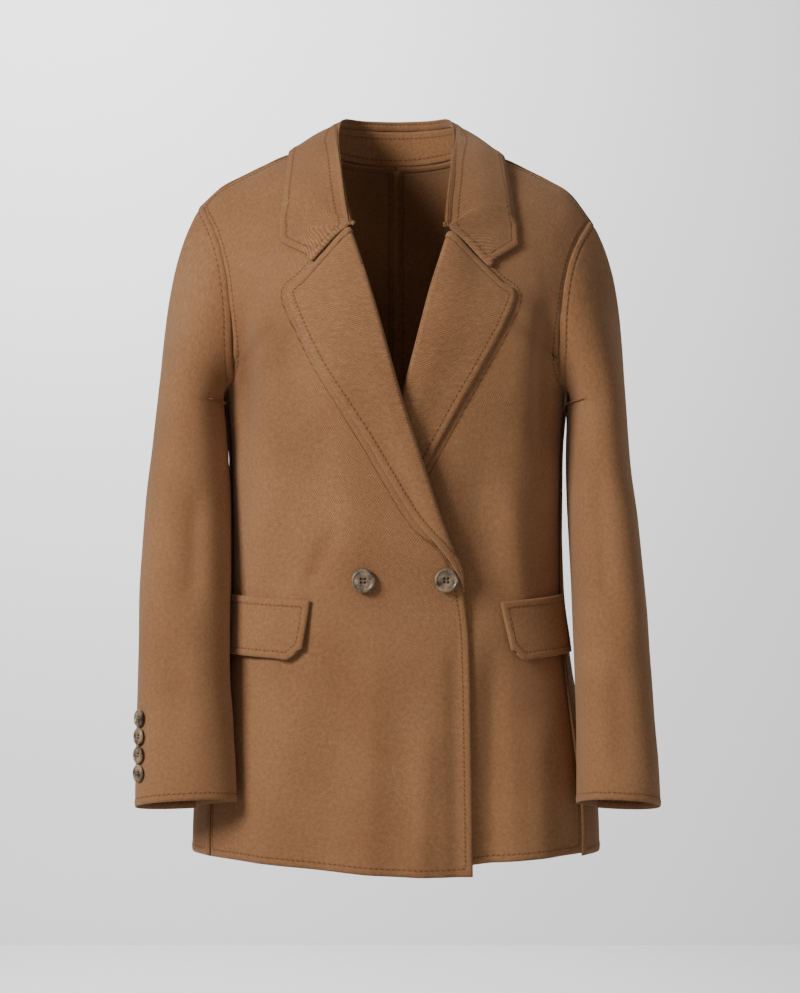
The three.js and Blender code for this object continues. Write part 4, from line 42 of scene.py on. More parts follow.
    "front_left": dict(flip=True, closed=False, fine=(12, 4), keep=["1111111111111111110000000000", "1111111111111111110000000000", "1111111111111111110000000000", "1111111111111111110000000000", "1111111111111111110000000000", "1111111111111111110000000000", "1111111111111111111111111111", "1111111111111111111111111111", "1111111111111111111111111111", "1111111111111111111111111111", "1111111111111111111111111111", "1111111111111111111111111111", "1111111111111111111111111111", "1111111111111111111111111111", "1111111111111111111111111111", "1111111111111111111111111111", "1111111111111111111111111111", "1111111111111111111111111111", "1111111111111111111111111111"], rows=[[[185.3,-65.9,-708.5],[174.8,-76.8,-708.6],[162.8,-86.2,-709],[150,-94.9,-709.6],[136.6,-103.3,-710.3],[121.8,-109,-711.2],[105.7,-109.9,-712.2],[89.8,-110.1,-713.3],[74.7,-113.7,-714.3],[64.5,-116.2,-715],[54.1,-117.8,-715.6],[38.5,-118.9,-716.5],[22.8,-119.4,-717.3],[7,-119.6,-717.9],[-8.7,-119.6,-718.3],[-21.8,-119.5,-718.5],[-34.9,-118.8,-718.5],[-47.9,-117,-718.5],[-60.6,-113.6,-718.5],[-60.6,-113.6,-718.5],[-60.6,-113.6,-718.5],[-60.6,-113.6,-718.5],[-60.6,-113.6,-718.5],[-60.6,-113.6,-718.5],[-60.6,-113.6,-718.5],[-60.6,-113.6,-718.5],[-60.6,-113.6,-718.5],[-60.6,-113.6,-718.5]],[[184.8,-63.9,-663.4],[173.9,-75.5,-662.3],[161.6,-85.4,-661.8],[148.5,-94.2,-661.9],[134.9,-102.7,-662.1],[119.9,-108.5,-662.6],[103.6,-109.1,-663.2],[87.7,-109.7,-663.8],[72.4,-113.7,-664.4],[62.1,-115.9,-664.8],[51.6,-117.3,-665.4],[36.5,-118.3,-667.2],[21.4,-118.8,-668.9],[6.1,-119,-670.5],[-9.1,-119,-671.8],[-21.9,-118.8,-672.8],[-34.7,-118.1,-673.6],[-47.4,-116.2,-674.4],[-59.9,-112.8,-675.1],[-59.9,-112.8,-675.1],[-59.9,-112.8,-675.1],[-59.9,-112.8,-675.1],[-59.9,-112.8,-675.1],[-59.9,-112.8,-675.1],[-59.9,-112.8,-675.1],[-59.9,-112.8,-675.1],[-59.9,-112.8,-675.1],[-59.9,-112.8,-675.1]],[[179.2,-58.4,-611.8],[168.3,-71.5,-609.3],[156.1,-82.4,-607.8],[143.1,-91.7,-607.3],[129.3,-99.9,-607.1],[114.2,-105,-607],[98.2,-106.3,-607.2],[82.8,-109,-607.3],[67.7,-113.3,-607.4],[57.5,-115.1,-607.4],[47.1,-116.2,-608],[33.1,-117.2,-610.9],[18.8,-117.7,-613.7],[4.4,-117.9,-616.3],[-10.1,-117.9,-618.7],[-22.3,-117.7,-620.6],[-34.6,-117,-622.3],[-46.9,-114.8,-623.9],[-59,-111.5,-625.6],[-59,-111.5,-625.6],[-59,-111.5,-625.6],[-59,-111.5,-625.6],[-59,-111.5,-625.6],[-59,-111.5,-625.6],[-59,-111.5,-625.6],[-59,-111.5,-625.6],[-59,-111.5,-625.6],[-59,-111.5,-625.6]],[[172.3,-51.2,-560.3],[162.1,-66,-556.3],[150.2,-78,-553.9],[137.1,-87.6,-552.8],[123.1,-95.3,-552.1],[108.4,-101.1,-551.5],[93.4,-105.4,-551.1],[78.3,-109.2,-550.7],[63.1,-112.1,-550.3],[52.9,-113.5,-550.1],[42.6,-114.4,-550.6],[29.5,-115.3,-554.6],[16.1,-115.8,-558.4],[2.5,-116.1,-562.1],[-11.3,-116.1,-565.6],[-22.9,-115.9,-568.4],[-34.7,-115.1,-570.9],[-46.5,-113,-573.5],[-58.2,-109.9,-576],[-58.2,-109.9,-576],[-58.2,-109.9,-576],[-58.2,-109.9,-576],[-58.2,-109.9,-576],[-58.2,-109.9,-576],[-58.2,-109.9,-576],[-58.2,-109.9,-576],[-58.2,-109.9,-576],[-58.2,-109.9,-576]],[[167.2,-44.4,-508.7],[157.9,-60.9,-503.3],[146.6,-74,-499.9],[133.8,-84.5,-498.3],[119.9,-92.8,-497],[105.4,-99.2,-495.9],[90.4,-104.2,-495],[75.2,-107.9,-494.2],[59.9,-110.5,-493.3],[49.7,-111.7,-492.7],[39.5,-112.6,-493.2],[26.9,-113.5,-498.2],[14.1,-114,-503.2],[1.2,-114.2,-507.9],[-12,-114.3,-512.5],[-23.1,-114.2,-516.1],[-34.5,-113.6,-519.6],[-45.9,-112.4,-523],[-57.3,-110.5,-526.4],[-57.3,-110.5,-526.4],[-57.3,-110.5,-526.4],[-57.3,-110.5,-526.4],[-57.3,-110.5,-526.4],[-57.3,-110.5,-526.4],[-57.3,-110.5,-526.4],[-57.3,-110.5,-526.4],[-57.3,-110.5,-526.4],[-57.3,-110.5,-526.4]],[[165.1,-38.3,-463.6],[156.7,-56,-456.9],[145.9,-70.1,-452.7],[133.3,-81.3,-450.6],[119.5,-90.2,-448.9],[104.8,-96.9,-447.3],[89.7,-101.7,-446],[74.5,-105.5,-444.8],[59.1,-108.6,-443.4],[48.8,-110,-442.6],[38.5,-111,-443],[26.3,-111.8,-449],[14,-112.3,-454.8],[1.4,-112.6,-460.5],[-11.3,-112.7,-466.1],[-22.1,-112.7,-470.5],[-33.2,-112.3,-474.7],[-44.3,-111.7,-478.9],[-55.5,-110.6,-483],[-55.5,-110.6,-483],[-55.5,-110.6,-483],[-55.5,-110.6,-483],[-55.5,-110.6,-483],[-55.5,-110.6,-483],[-55.5,-110.6,-483],[-55.5,-110.6,-483],[-55.5,-110.6,-483],[-55.5,-110.6,-483]],[[164.7,-33,-425],[157.5,-51.7,-417.2],[147.5,-66.8,-412.3],[135.4,-78.9,-409.7],[121.9,-88.6,-407.6],[107.2,-95.4,-405.7],[91.5,-98.6,-403.9],[76.3,-101.8,-402.4],[61.5,-107.3,-400.7],[51.4,-109.6,-399.7],[41.1,-110.8,-400],[29.4,-111.6,-406.8],[17.5,-111.9,-413.5],[5.4,-112,-420],[-6.9,-112,-426.4],[-17.3,-111.8,-431.5],[-27.9,-111.5,-436.3],[-38.6,-110.9,-441.2],[-49.4,-109.9,-446],[-49.4,-109.9,-446],[-49.4,-109.9,-446],[-49.4,-109.9,-446],[-49.4,-109.9,-446],[-49.4,-109.9,-446],[-49.4,-109.9,-446],[-49.4,-109.9,-446],[-49.4,-109.9,-446],[-49.4,-109.9,-446]],[[165,-29.8,-402.4],[158.5,-49.1,-394],[149.1,-64.7,-388.6],[137.7,-77.7,-385.8],[124.8,-88.3,-383.4],[110.1,-95.6,-381.2],[94.4,-98.9,-379.3],[79,-101.3,-377.5],[64.3,-106.6,-375.6],[54.3,-109.4,-374.3],[44.2,-111,-374.7],[32.8,-111.7,-381.9],[21.3,-112.1,-389],[9.6,-112.2,-396],[-2.3,-112.2,-402.8],[-12.4,-112.1,-408.2],[-22.7,-111.8,-413.5],[-33.2,-111.2,-418.7],[-43.6,-110.2,-423.9],[-45.1,-110.3,-423.4],[-46.3,-111.1,-423.1],[-47,-112.5,-422.9],[-47.1,-114,-422.9],[-46.1,-114.6,-423.2],[-45.1,-115.2,-423.4],[-44,-115.7,-423.7],[-43,-116.2,-424],[-42,-116.8,-424.2]],[[165.3,-26.4,-379.9],[159.7,-46.2,-370.8],[151,-62.4,-365],[140.4,-76.1,-361.9],[128.2,-87.8,-359.3],[113.9,-95.8,-356.9],[98.2,-99.4,-354.7],[82.5,-101.2,-352.7],[68,-105.7,-350.6],[58.2,-109.1,-349.2],[48.2,-111.1,-349.5],[37.3,-112,-357.2],[26.3,-112.4,-364.8],[15,-112.6,-372.2],[3.5,-112.6,-379.5],[-6.2,-112.4,-385.3],[-16.2,-112.2,-391],[-26.4,-111.8,-396.5],[-36.5,-111.1,-402.1],[-38.4,-111.6,-401.5],[-39.7,-113.2,-401.2],[-39.7,-115.4,-401.2],[-38.4,-117.1,-401.7],[-36.1,-117.7,-402.1],[-33.8,-118.2,-402.5],[-31.5,-118.7,-402.9],[-29.1,-119.2,-403.3],[-26.8,-119.6,-403.7]],[[166,-21.5,-347.7],[161.5,-42.2,-337.7],[153.9,-59.2,-331.2],[144.2,-73.8,-327.8],[133,-86.8,-324.9],[119.4,-96.4,-322.2],[104,-101.5,-319.7],[88.7,-105.1,-317.3],[73.9,-109,-314.9],[64,-111.4,-313.3],[54,-113.1,-313.6],[43.7,-113.6,-321.9],[33.2,-113.8,-330.2],[22.5,-113.7,-338.2],[11.6,-113.5,-346.1],[2.3,-113.2,-352.5],[-7.3,-113,-358.7],[-16.9,-112.7,-364.8],[-26.6,-112.3,-370.9],[-28.8,-113.1,-370.3],[-29.9,-115.4,-370],[-29.1,-117.7,-370.3],[-26.9,-118.7,-371],[-22.1,-118.6,-371.7],[-17.3,-116.4,-372.3],[-12.6,-114.4,-373],[-7.9,-114.1,-373.6],[-3.2,-114.1,-374.3]],[[167.2,-16.1,-309],[163.4,-37.6,-297.9],[155.7,-54.8,-290.7],[146.5,-69.3,-286.8],[137.7,-84.1,-283.6],[126,-96.1,-280.6],[111.4,-103,-277.6],[96.3,-107.4,-274.9],[81.5,-111.5,-272],[71.7,-113.9,-270.2],[61.8,-115.7,-270.4],[51.8,-116.3,-279.6],[41.9,-116.5,-288.6],[31.8,-116.5,-297.5],[21.6,-116.3,-306.2],[12.8,-115.9,-313.2],[3.7,-115.4,-320.1],[-5.4,-114.9,-326.8],[-14.6,-114.3,-333.6],[-16.7,-115.2,-332.9],[-17.6,-117.4,-332.7],[-16.8,-119.6,-333.1],[-14.7,-120.5,-333.8],[-7.6,-120.2,-334.7],[-0.6,-117.9,-335.4],[6.4,-115.9,-336.2],[13.4,-115.4,-337],[20.4,-115.2,-337.9]],[[169.8,-10.8,-270.3],[168,-33.3,-258.1],[161.7,-51.3,-250.1],[152,-65.4,-245.6],[143.8,-79.4,-242],[134.8,-93.7,-238.9],[122,-103.3,-235.7],[107.2,-108.2,-232.5],[92.3,-111.9,-229.2],[82.5,-114.3,-227.1],[72.3,-116.3,-227.3],[61.6,-117.7,-237.2],[51.6,-118.6,-247.1],[41.8,-119.2,-256.7],[31.9,-119.2,-266.2],[23.5,-119,-273.9],[14.8,-118.5,-281.5],[6.1,-117.9,-288.9],[-2.5,-117.3,-296.3],[-4.6,-118.2,-295.6],[-5.4,-120.4,-295.4],[-4.6,-122.5,-295.8],[-2.5,-123.4,-296.5],[6.4,-123,-297.3],[15.4,-120.6,-298],[24.3,-118.4,-298.8],[33.3,-117.6,-299.6],[42.3,-116.9,-300.4]],[[170.4,-31.9,-245.7],[167.4,-51.9,-231.5],[161,-66.2,-221.8],[151.6,-76.9,-216.1],[143.6,-89,-211.5],[134.1,-100.5,-206.9],[121.6,-107.6,-202.4],[107.5,-111.2,-198.1],[93.4,-114,-193.7],[83.9,-115.9,-190.7],[74.1,-117.5,-190.3],[65.3,-118.6,-200.2],[56.3,-119.4,-210],[47.3,-120,-219.6],[38.4,-120.4,-229],[31,-120.7,-236.7],[23.6,-120.8,-244.1],[16.4,-120.7,-251.5],[9.2,-120.5,-258.8],[7.2,-121.4,-258.2],[6.3,-123.5,-258.1],[7.2,-125.6,-258.4],[9.2,-126.4,-259],[20.1,-125.9,-259.7],[30.9,-123.3,-260.4],[41.7,-120.6,-261],[52.5,-119.2,-261.7],[63.3,-117.5,-262.4]],[[162.7,-65.7,-219.5],[155.4,-76.5,-203.6],[147.4,-85.2,-192.8],[138.8,-95.2,-185.9],[128,-101.8,-179.6],[115.9,-105.4,-173.7],[103.5,-107.7,-168.1],[91.3,-110,-162.8],[79.1,-111.9,-157.2],[70.9,-113.2,-153.5],[62.5,-114.9,-152.5],[57.6,-118.1,-162.3],[52.5,-120.1,-172.1],[47,-120.6,-181.7],[41.3,-121,-191.2],[36.1,-121.2,-198.8],[30.5,-121.4,-206.3],[24.9,-121.5,-213.6],[19.4,-121.5,-220.9],[17.5,-122.4,-220.4],[16.7,-124.4,-220.2],[17.6,-126.4,-220.5],[19.6,-127.2,-221],[32.7,-126.4,-221.8],[45.8,-123.5,-222.5],[58.8,-120.3,-223.2],[71.8,-118,-224],[85,-115.3,-224.7]],[[163.9,-71.8,-176.5],[151.7,-78.4,-159.8],[141.2,-84.4,-148],[129.7,-88.5,-140.9],[118.2,-91.2,-134.6],[106.7,-93.2,-128.5],[95.4,-95,-122.7],[84.1,-96.4,-117.2],[72.8,-97.7,-111.5],[65.3,-98.4,-107.7],[57.7,-100.1,-106.9],[54.9,-105.2,-117.8],[51.9,-109.8,-128.6],[48.5,-113.8,-139.2],[44.8,-117.2,-149.7],[41.3,-119.5,-158.2],[37.4,-120.9,-166.6],[33.2,-121.3,-174.7],[29.2,-121.6,-182.9],[27.3,-122.5,-182.4],[26.5,-124.5,-182.2],[27.4,-126.4,-182.4],[29.4,-127.2,-182.9],[44.7,-126.1,-183.6],[59.9,-122.9,-184.4],[75,-119.2,-185.1],[90.3,-115.9,-185.7],[105.9,-112.1,-186.4]],[[169.2,-62,-137],[155.5,-65.8,-119.6],[143.2,-67.8,-107.9],[131.3,-70.4,-100.8],[119.7,-72.3,-94.6],[108.4,-73.7,-88.5],[97.1,-74.9,-82.8],[85.8,-75.9,-77.4],[74.6,-76.8,-71.8],[67.1,-77.5,-68.1],[59.6,-79.7,-67.4],[57.9,-86.8,-79.4],[55.9,-93.4,-91.3],[53.4,-99.4,-103],[50.5,-104.9,-114.5],[47.6,-109,-124],[44.3,-112.6,-133.1],[40.8,-115.8,-142.2],[37.3,-118.5,-151.3],[35.5,-119.3,-150.6],[34.9,-121.2,-150.2],[35.9,-123.1,-150.2],[37.9,-123.8,-150.7],[54.1,-121.5,-151.5],[69.9,-116.6,-152.5],[85.5,-110.9,-153.5],[101.5,-106,-154.4],[117.7,-100.6,-155.1]],[[178.5,-43.8,-106],[164.4,-45.9,-88.2],[151.7,-46.4,-76.3],[139.4,-48.3,-69.3],[127.4,-49.9,-63.1],[115.6,-51,-57.1],[104,-51.8,-51.4],[92.4,-52.9,-46.1],[80.9,-53.1,-40.5],[73.2,-54,-36.8],[65.6,-57.2,-36.3],[64.2,-66.8,-49.1],[62.6,-75.4,-61.8],[60.4,-83.3,-74.4],[57.8,-90.7,-86.7],[55.1,-96.3,-96.9],[51.8,-101.4,-106.8],[48.4,-106.1,-116.5],[44.9,-110.2,-126.2],[43.3,-111.1,-125.5],[42.8,-112.9,-125],[43.8,-114.6,-124.9],[45.8,-115.2,-125.4],[57.8,-113.8,-128.8],[69.5,-110.4,-132.5],[80.9,-106.4,-136.2],[92.7,-103.9,-139.6],[104.7,-101,-143]],[[187.6,-26.9,-88.3],[173.8,-29.2,-70.2],[160.8,-28.6,-58.1],[148.3,-29.9,-51],[135.9,-31.2,-44.7],[123.8,-32.1,-38.6],[111.7,-32.6,-32.9],[99.7,-33.5,-27.5],[87.7,-33.9,-21.8],[79.8,-33.7,-18.1],[71.8,-38.3,-17.7],[70.3,-50.8,-30.9],[68.5,-61.5,-44],[66.2,-71.1,-56.9],[63.4,-79.8,-69.7],[60.6,-86.5,-80.2],[57.1,-92.7,-90.5],[53.4,-98.3,-100.5],[49.8,-103.5,-110.6],[48.1,-104.3,-109.9],[47.7,-106.1,-109.4],[48.8,-107.7,-109.2],[50.8,-108.3,-109.6],[60.2,-107.9,-114.7],[69.2,-105.7,-120.1],[78.2,-103.3,-125.3],[87.3,-102.2,-130.4],[96.7,-101,-135.4]],[[194,-14,-79.2],[180.8,-15.4,-60.8],[167.9,-15.4,-48.4],[155.3,-16.1,-41.1],[142.8,-16.9,-34.7],[130.3,-17.5,-28.5],[117.9,-17.8,-22.7],[105.5,-18.2,-17.1],[93.1,-18.6,-11.3],[84.9,-18.6,-7.5],[76.6,-23.5,-7.1],[74.9,-39.2,-20.4],[72.9,-51.8,-33.7],[70.3,-62.8,-46.9],[67.2,-72.5,-59.8],[64.2,-79.9,-70.4],[60.5,-86.8,-80.8],[56.6,-93.1,-91],[52.7,-98.8,-101.2],[51.1,-99.7,-100.6],[50.7,-101.4,-100],[51.8,-103,-99.8],[53.8,-103.5,-100.2],[61.6,-104,-106.2],[69.1,-102.7,-112.6],[76.5,-101.3,-118.8],[84.1,-101,-124.8],[91.9,-100.9,-130.8]],[[198,-1.1,-73.3],[185.4,-1.3,-54.7],[172.7,-1.4,-42.1],[160.1,-1.4,-34.8],[147.4,-1.4,-28.2],[134.8,-1.4,-21.9],[122.1,-1.4,-16],[109.5,-1.3,-10.4],[96.9,-1.3,-4.5],[88.4,-1.2,-0.6],[80,-9.6,-0.1],[78,-30.1,-13.6],[75.9,-44.6,-27],[73.1,-56.7,-40.2],[69.8,-67.3,-53.3],[66.6,-75.3,-64],[62.8,-82.6,-74.4],[58.7,-89.4,-84.7],[54.6,-95.5,-95],[53,-96.4,-94.3],[52.7,-98.1,-93.7],[53.8,-99.6,-93.5],[55.7,-100.1,-93.9],[62.6,-101.2,-100.6],[69,-100.6,-107.6],[75.3,-99.9,-114.5],[81.9,-100.1,-121.1],[88.7,-100.7,-127.8]]]),
    "back_right": dict(flip=False, closed=False, fine=(12, 9), keep=["111111111", "111111111", "111111111", "111111111", "111111111", "111111111", "111111111", "111111111", "111111111", "111111111", "111111111", "111111111", "111111111", "111111111", "111111111", "111111111", "111111111", "111111111"], rows=[[[-185.6,-65.5,-711],[-201,-36.4,-711],[-205.2,-4.1,-711],[-203,26.3,-711],[-186.8,59.6,-711],[-150,87.1,-711],[-104.5,102.5,-711],[-52.7,109.7,-711],[-0.3,111.2,-711]],[[-184.8,-63,-657.7],[-198.9,-33.2,-656.2],[-202.2,-1,-655.5],[-199.2,28.5,-654.7],[-182,60.3,-654],[-145.4,86.3,-653.7],[-101.2,100.7,-654.3],[-51.1,107.5,-654.7],[-0.3,108.9,-654.9]],[[-177.6,-55.9,-597.7],[-187.8,-25.3,-594.6],[-189,5.5,-593],[-184.4,32.8,-591.5],[-166.2,61.5,-589.9],[-131.4,84.3,-589.2],[-91.4,96.8,-590.4],[-46.1,102.8,-591.4],[-0.3,104.1,-591.9]],[[-170,-47.7,-537.7],[-176.8,-16.8,-533],[-176.6,11.9,-530.5],[-170.5,37.2,-528.2],[-151.5,62.7,-525.7],[-118.8,82.5,-524.8],[-82.4,93.4,-526.6],[-41.5,98.7,-528],[-0.3,99.8,-528.8]],[[-165.8,-39.7,-477.7],[-170.3,-8.7,-471.4],[-169.1,17.6,-468],[-161.5,41,-464.9],[-141.9,63.7,-461.6],[-110.4,81,-460.3],[-76.4,90.5,-462.8],[-38.5,95.1,-464.7],[-0.3,96.1,-465.8]],[[-164.9,-31.4,-417.7],[-167.6,-0.4,-409.8],[-165.3,23.8,-405.5],[-156,45.8,-401.6],[-135.6,66.4,-397.5],[-104.7,81.9,-395.8],[-72.3,90.2,-399],[-36.3,94.2,-401.3],[-0.2,95,-402.7]],[[-165.8,-22.5,-357.7],[-166.9,7.5,-348.2],[-163,31,-343],[-151.8,51.7,-338.3],[-130.5,70.6,-333.3],[-100,84.6,-331.4],[-68.8,91.7,-335.1],[-34.6,95.1,-338],[-0.2,95.7,-339.6]],[[-167.4,-14.9,-304.3],[-167.7,14.8,-293.4],[-162.1,38.8,-287.5],[-149.5,59.1,-282],[-127.7,77.2,-276.3],[-97.3,90.5,-274.1],[-66.8,97,-278.4],[-33.5,100,-281.7],[-0.2,100.5,-283.6]],[[-172.5,-7.5,-251],[-173.7,22.5,-238.7],[-167.8,46.7,-231.9],[-155,66.3,-225.8],[-133,83.5,-219.3],[-101.4,96,-216.7],[-68.7,102.2,-221.7],[-34.2,105.1,-225.4],[-0.3,105.6,-227.5]],[[-172.5,15.1,-247.6],[-169.9,41.6,-233.1],[-160.2,61.7,-224.4],[-145.7,77,-216.3],[-123.9,90,-207.5],[-94,99.5,-202.5],[-64,104.2,-205.4],[-32,106.5,-206.8],[-0.3,107,-206.5]],[[-170.8,28,-245.7],[-165.2,52.4,-229.9],[-153.8,69.7,-220],[-138.9,82.4,-210.7],[-117.6,93.3,-200.6],[-88.9,101.3,-194.1],[-60.6,105.2,-195.6],[-30.4,107.2,-195.6],[-0.3,107.7,-193.9]],[[-165.8,51.8,-229.3],[-156.2,70.8,-211.6],[-142.3,83,-200.1],[-126.1,91.7,-189.3],[-104.6,99,-177.4],[-77.9,104.5,-169.1],[-53.3,107.1,-169.3],[-26.7,108.5,-167.8],[-0.3,108.9,-164.5]],[[-169.2,65.8,-192.9],[-152.5,81.2,-174.6],[-135.2,90.5,-163],[-117.7,97,-152],[-96.5,102.1,-140],[-71.1,106.3,-132],[-48.5,108.7,-133],[-24.3,109.7,-132.2],[-0.3,109.9,-129.4]],[[-173.8,66.7,-152.5],[-154.3,79.3,-134],[-135.8,86.8,-122.6],[-117.6,91.6,-111.9],[-95.9,94.9,-100.3],[-70.3,99.2,-93.1],[-47.9,104.3,-95.4],[-24,106.7,-95.9],[-0.3,107.1,-94.4]],[[-179.2,58.7,-120.1],[-158.7,68.7,-101.4],[-139.4,75.1,-90.2],[-120.5,79,-79.7],[-97.9,81.4,-68.4],[-71.5,86.2,-61.9],[-48.7,94.3,-65.3],[-24.4,98.5,-66.9],[-0.3,99.3,-66.4]],[[-185.9,44.8,-91.9],[-164.6,52.2,-73.1],[-144.3,57.5,-62.1],[-124.5,60.6,-51.7],[-101,62.2,-40.7],[-73.7,67.8,-34.7],[-50.2,80.2,-39],[-25.1,86.7,-41.5],[-0.3,88.4,-41.8]],[[-192.3,28.1,-72.5],[-170.7,33.6,-53.6],[-150,37.5,-42.5],[-129.5,39.7,-32.3],[-105.1,40.8,-21.3],[-76.7,47.3,-15.6],[-52.3,65.7,-20.5],[-26.1,75,-23.5],[-0.3,77.6,-24.3]],[[-195.8,16.6,-63.6],[-174.5,20.2,-44.5],[-153.6,22.7,-33.5],[-132.7,24.1,-23.2],[-107.8,24.9,-12.2],[-78.7,32.7,-6.6],[-53.7,56.8,-11.7],[-26.8,68.2,-15],[-0.3,71.4,-15.9]],[[-198,2.5,-57.7],[-177,2.8,-38.5],[-155.9,2.7,-27.4],[-134.8,2.3,-17.1],[-109.5,1.3,-6.2],[-80,18.2,-0.6],[-54.6,50,-5.8],[-27.3,63.1,-9.2],[-0.3,66.7,-10.3]]]),
    "back_left": dict(flip=True, closed=False, fine=(12, 9), keep=["111111111", "111111111", "111111111", "111111111", "111111111", "111111111", "111111111", "111111111", "111111111", "111111111", "111111111", "111111111", "111111111", "111111111", "111111111", "111111111", "111111111", "111111111"], rows=[[[185.6,-65.5,-711],[201,-36.4,-711],[205.2,-4.1,-711],[203,26.3,-711],[186.8,59.6,-711],[150,87.1,-711],[104.5,102.5,-711],[52.7,109.7,-711],[0.3,111.2,-711]],[[184.8,-63,-657.7],[198.9,-33.1,-655.7],[202.1,-0.9,-654.9],[199.1,28.6,-654.2],[181.9,60.4,-653.6],[145.3,86.3,-653.1],[101.1,100.7,-653.9],[51,107.5,-654.5],[0.3,108.9,-654.9]],[[177.6,-55.9,-597.7],[187.6,-25.1,-593.5],[188.7,5.7,-591.7],[184.1,33,-590.4],[165.9,61.6,-589],[131.1,84.3,-588.1],[91.2,96.8,-589.6],[46,102.8,-591],[0.3,104.1,-591.9]],[[170,-47.7,-537.7],[176.5,-16.4,-531.2],[176.3,12.2,-528.6],[170.1,37.4,-526.5],[151.2,62.8,-524.4],[118.4,82.5,-523],[82.2,93.4,-525.4],[41.5,98.6,-527.4],[0.3,99.8,-528.8]],[[165.8,-39.7,-477.7],[170.1,-8.3,-469],[168.9,18,-465.4],[161.1,41.3,-462.7],[141.5,63.9,-459.9],[110,81,-457.9],[76.1,90.4,-461.1],[38.4,95,-463.9],[0.3,96.1,-465.8]],[[164.9,-31.4,-417.7],[167.5,0.1,-406.8],[165.2,24.3,-402.2],[155.7,46.2,-398.8],[135.3,66.6,-395.3],[104.4,82,-392.8],[72,90.2,-396.9],[36.2,94.2,-400.3],[0.2,95,-402.7]],[[165.8,-22.5,-357.7],[166.9,8.1,-344.5],[162.8,31.7,-339.1],[151.5,52.3,-335],[130.1,71,-330.7],[99.7,85,-327.7],[68.6,91.9,-332.7],[34.4,95.2,-336.8],[0.2,95.7,-339.6]],[[167.4,-14.9,-304.3],[167.8,15.6,-289.2],[162.1,39.6,-283],[149.3,59.8,-278.2],[127.4,77.7,-273.3],[97.1,91,-269.9],[66.5,97.3,-275.5],[33.3,100.2,-280.3],[0.2,100.5,-283.6]],[[172.5,-7.5,-251],[175.1,23.4,-233.9],[169.4,47.6,-226.8],[156.1,67.1,-221.5],[133.6,84,-215.9],[102,96.5,-212],[68.9,102.4,-218.4],[34.1,105.2,-223.8],[0.3,105.6,-227.5]],[[172.6,13.8,-247.7],[171.9,41.5,-228.2],[162.4,61.8,-219.2],[147.4,77.1,-211.9],[125,90.1,-204.1],[95,99.7,-197.7],[64.5,104.4,-202],[32.1,106.6,-205.1],[0.3,107,-206.5]],[[171.2,26,-246.1],[167.6,51.7,-225.1],[156.5,69.4,-214.8],[141,82.3,-206.4],[118.9,93.3,-197.1],[89.9,101.4,-189.2],[61.3,105.3,-192.3],[30.6,107.3,-193.9],[0.3,107.7,-193.9]],[[165.6,49.9,-233],[157.7,70.3,-209.5],[143.8,82.7,-197.3],[127.1,91.5,-187],[105.3,99,-175.7],[78.6,104.6,-165.4],[53.6,107.2,-166.8],[26.9,108.6,-166.5],[0.3,108.9,-164.5]],[[168.6,64.3,-199.3],[153.1,80.7,-174.6],[135.8,90,-161.9],[118.2,96.5,-151.3],[96.8,101.8,-139.6],[71.4,106.1,-129.1],[48.7,108.7,-131],[24.4,109.7,-131.2],[0.3,109.9,-129.4]],[[172.8,66.8,-161.6],[153.3,79.1,-136.1],[134.8,86.2,-123.3],[116.7,90.9,-112.8],[95.1,94.8,-101.2],[69.8,98.7,-91],[47.5,104,-94],[23.8,106.6,-95.2],[0.3,107.1,-94.4]],[[178.2,59.5,-131.1],[157.5,68.6,-105],[138.3,74.3,-92.2],[119.4,78.2,-81.7],[97,81.4,-70.2],[70.8,85.7,-60.4],[48.3,94,-64.3],[24.1,98.3,-66.4],[0.3,99.3,-66.4]],[[185.1,45.7,-104.8],[163.8,52.4,-78],[143.6,56.6,-65.2],[123.8,59.8,-54.8],[100.4,62.3,-43.4],[73.2,67.3,-33.7],[49.9,79.9,-38.4],[24.9,86.6,-41.2],[0.3,88.4,-41.8]],[[191.8,29.5,-86.8],[170.3,34.3,-59.6],[149.5,36.8,-46.6],[129,39.1,-36.1],[104.7,40.7,-24.7],[76.4,46.9,-15.1],[52.1,65.5,-20.1],[26,74.9,-23.4],[0.3,77.6,-24.3]],[[195.6,17.4,-78.7],[174.3,21,-51.2],[153.4,22.3,-38.1],[132.5,23.8,-27.6],[107.6,24.7,-16],[78.6,32.5,-6.4],[53.6,56.7,-11.6],[26.8,68.2,-14.9],[0.3,71.4,-15.9]],[[198,2.4,-73.3],[177,2.6,-45.6],[155.9,2.6,-32.5],[134.8,2.2,-21.8],[109.6,1.1,-10.2],[80,18.2,-0.6],[54.6,49.9,-5.8],[27.3,63.1,-9.2],[0.3,66.7,-10.3]]]),
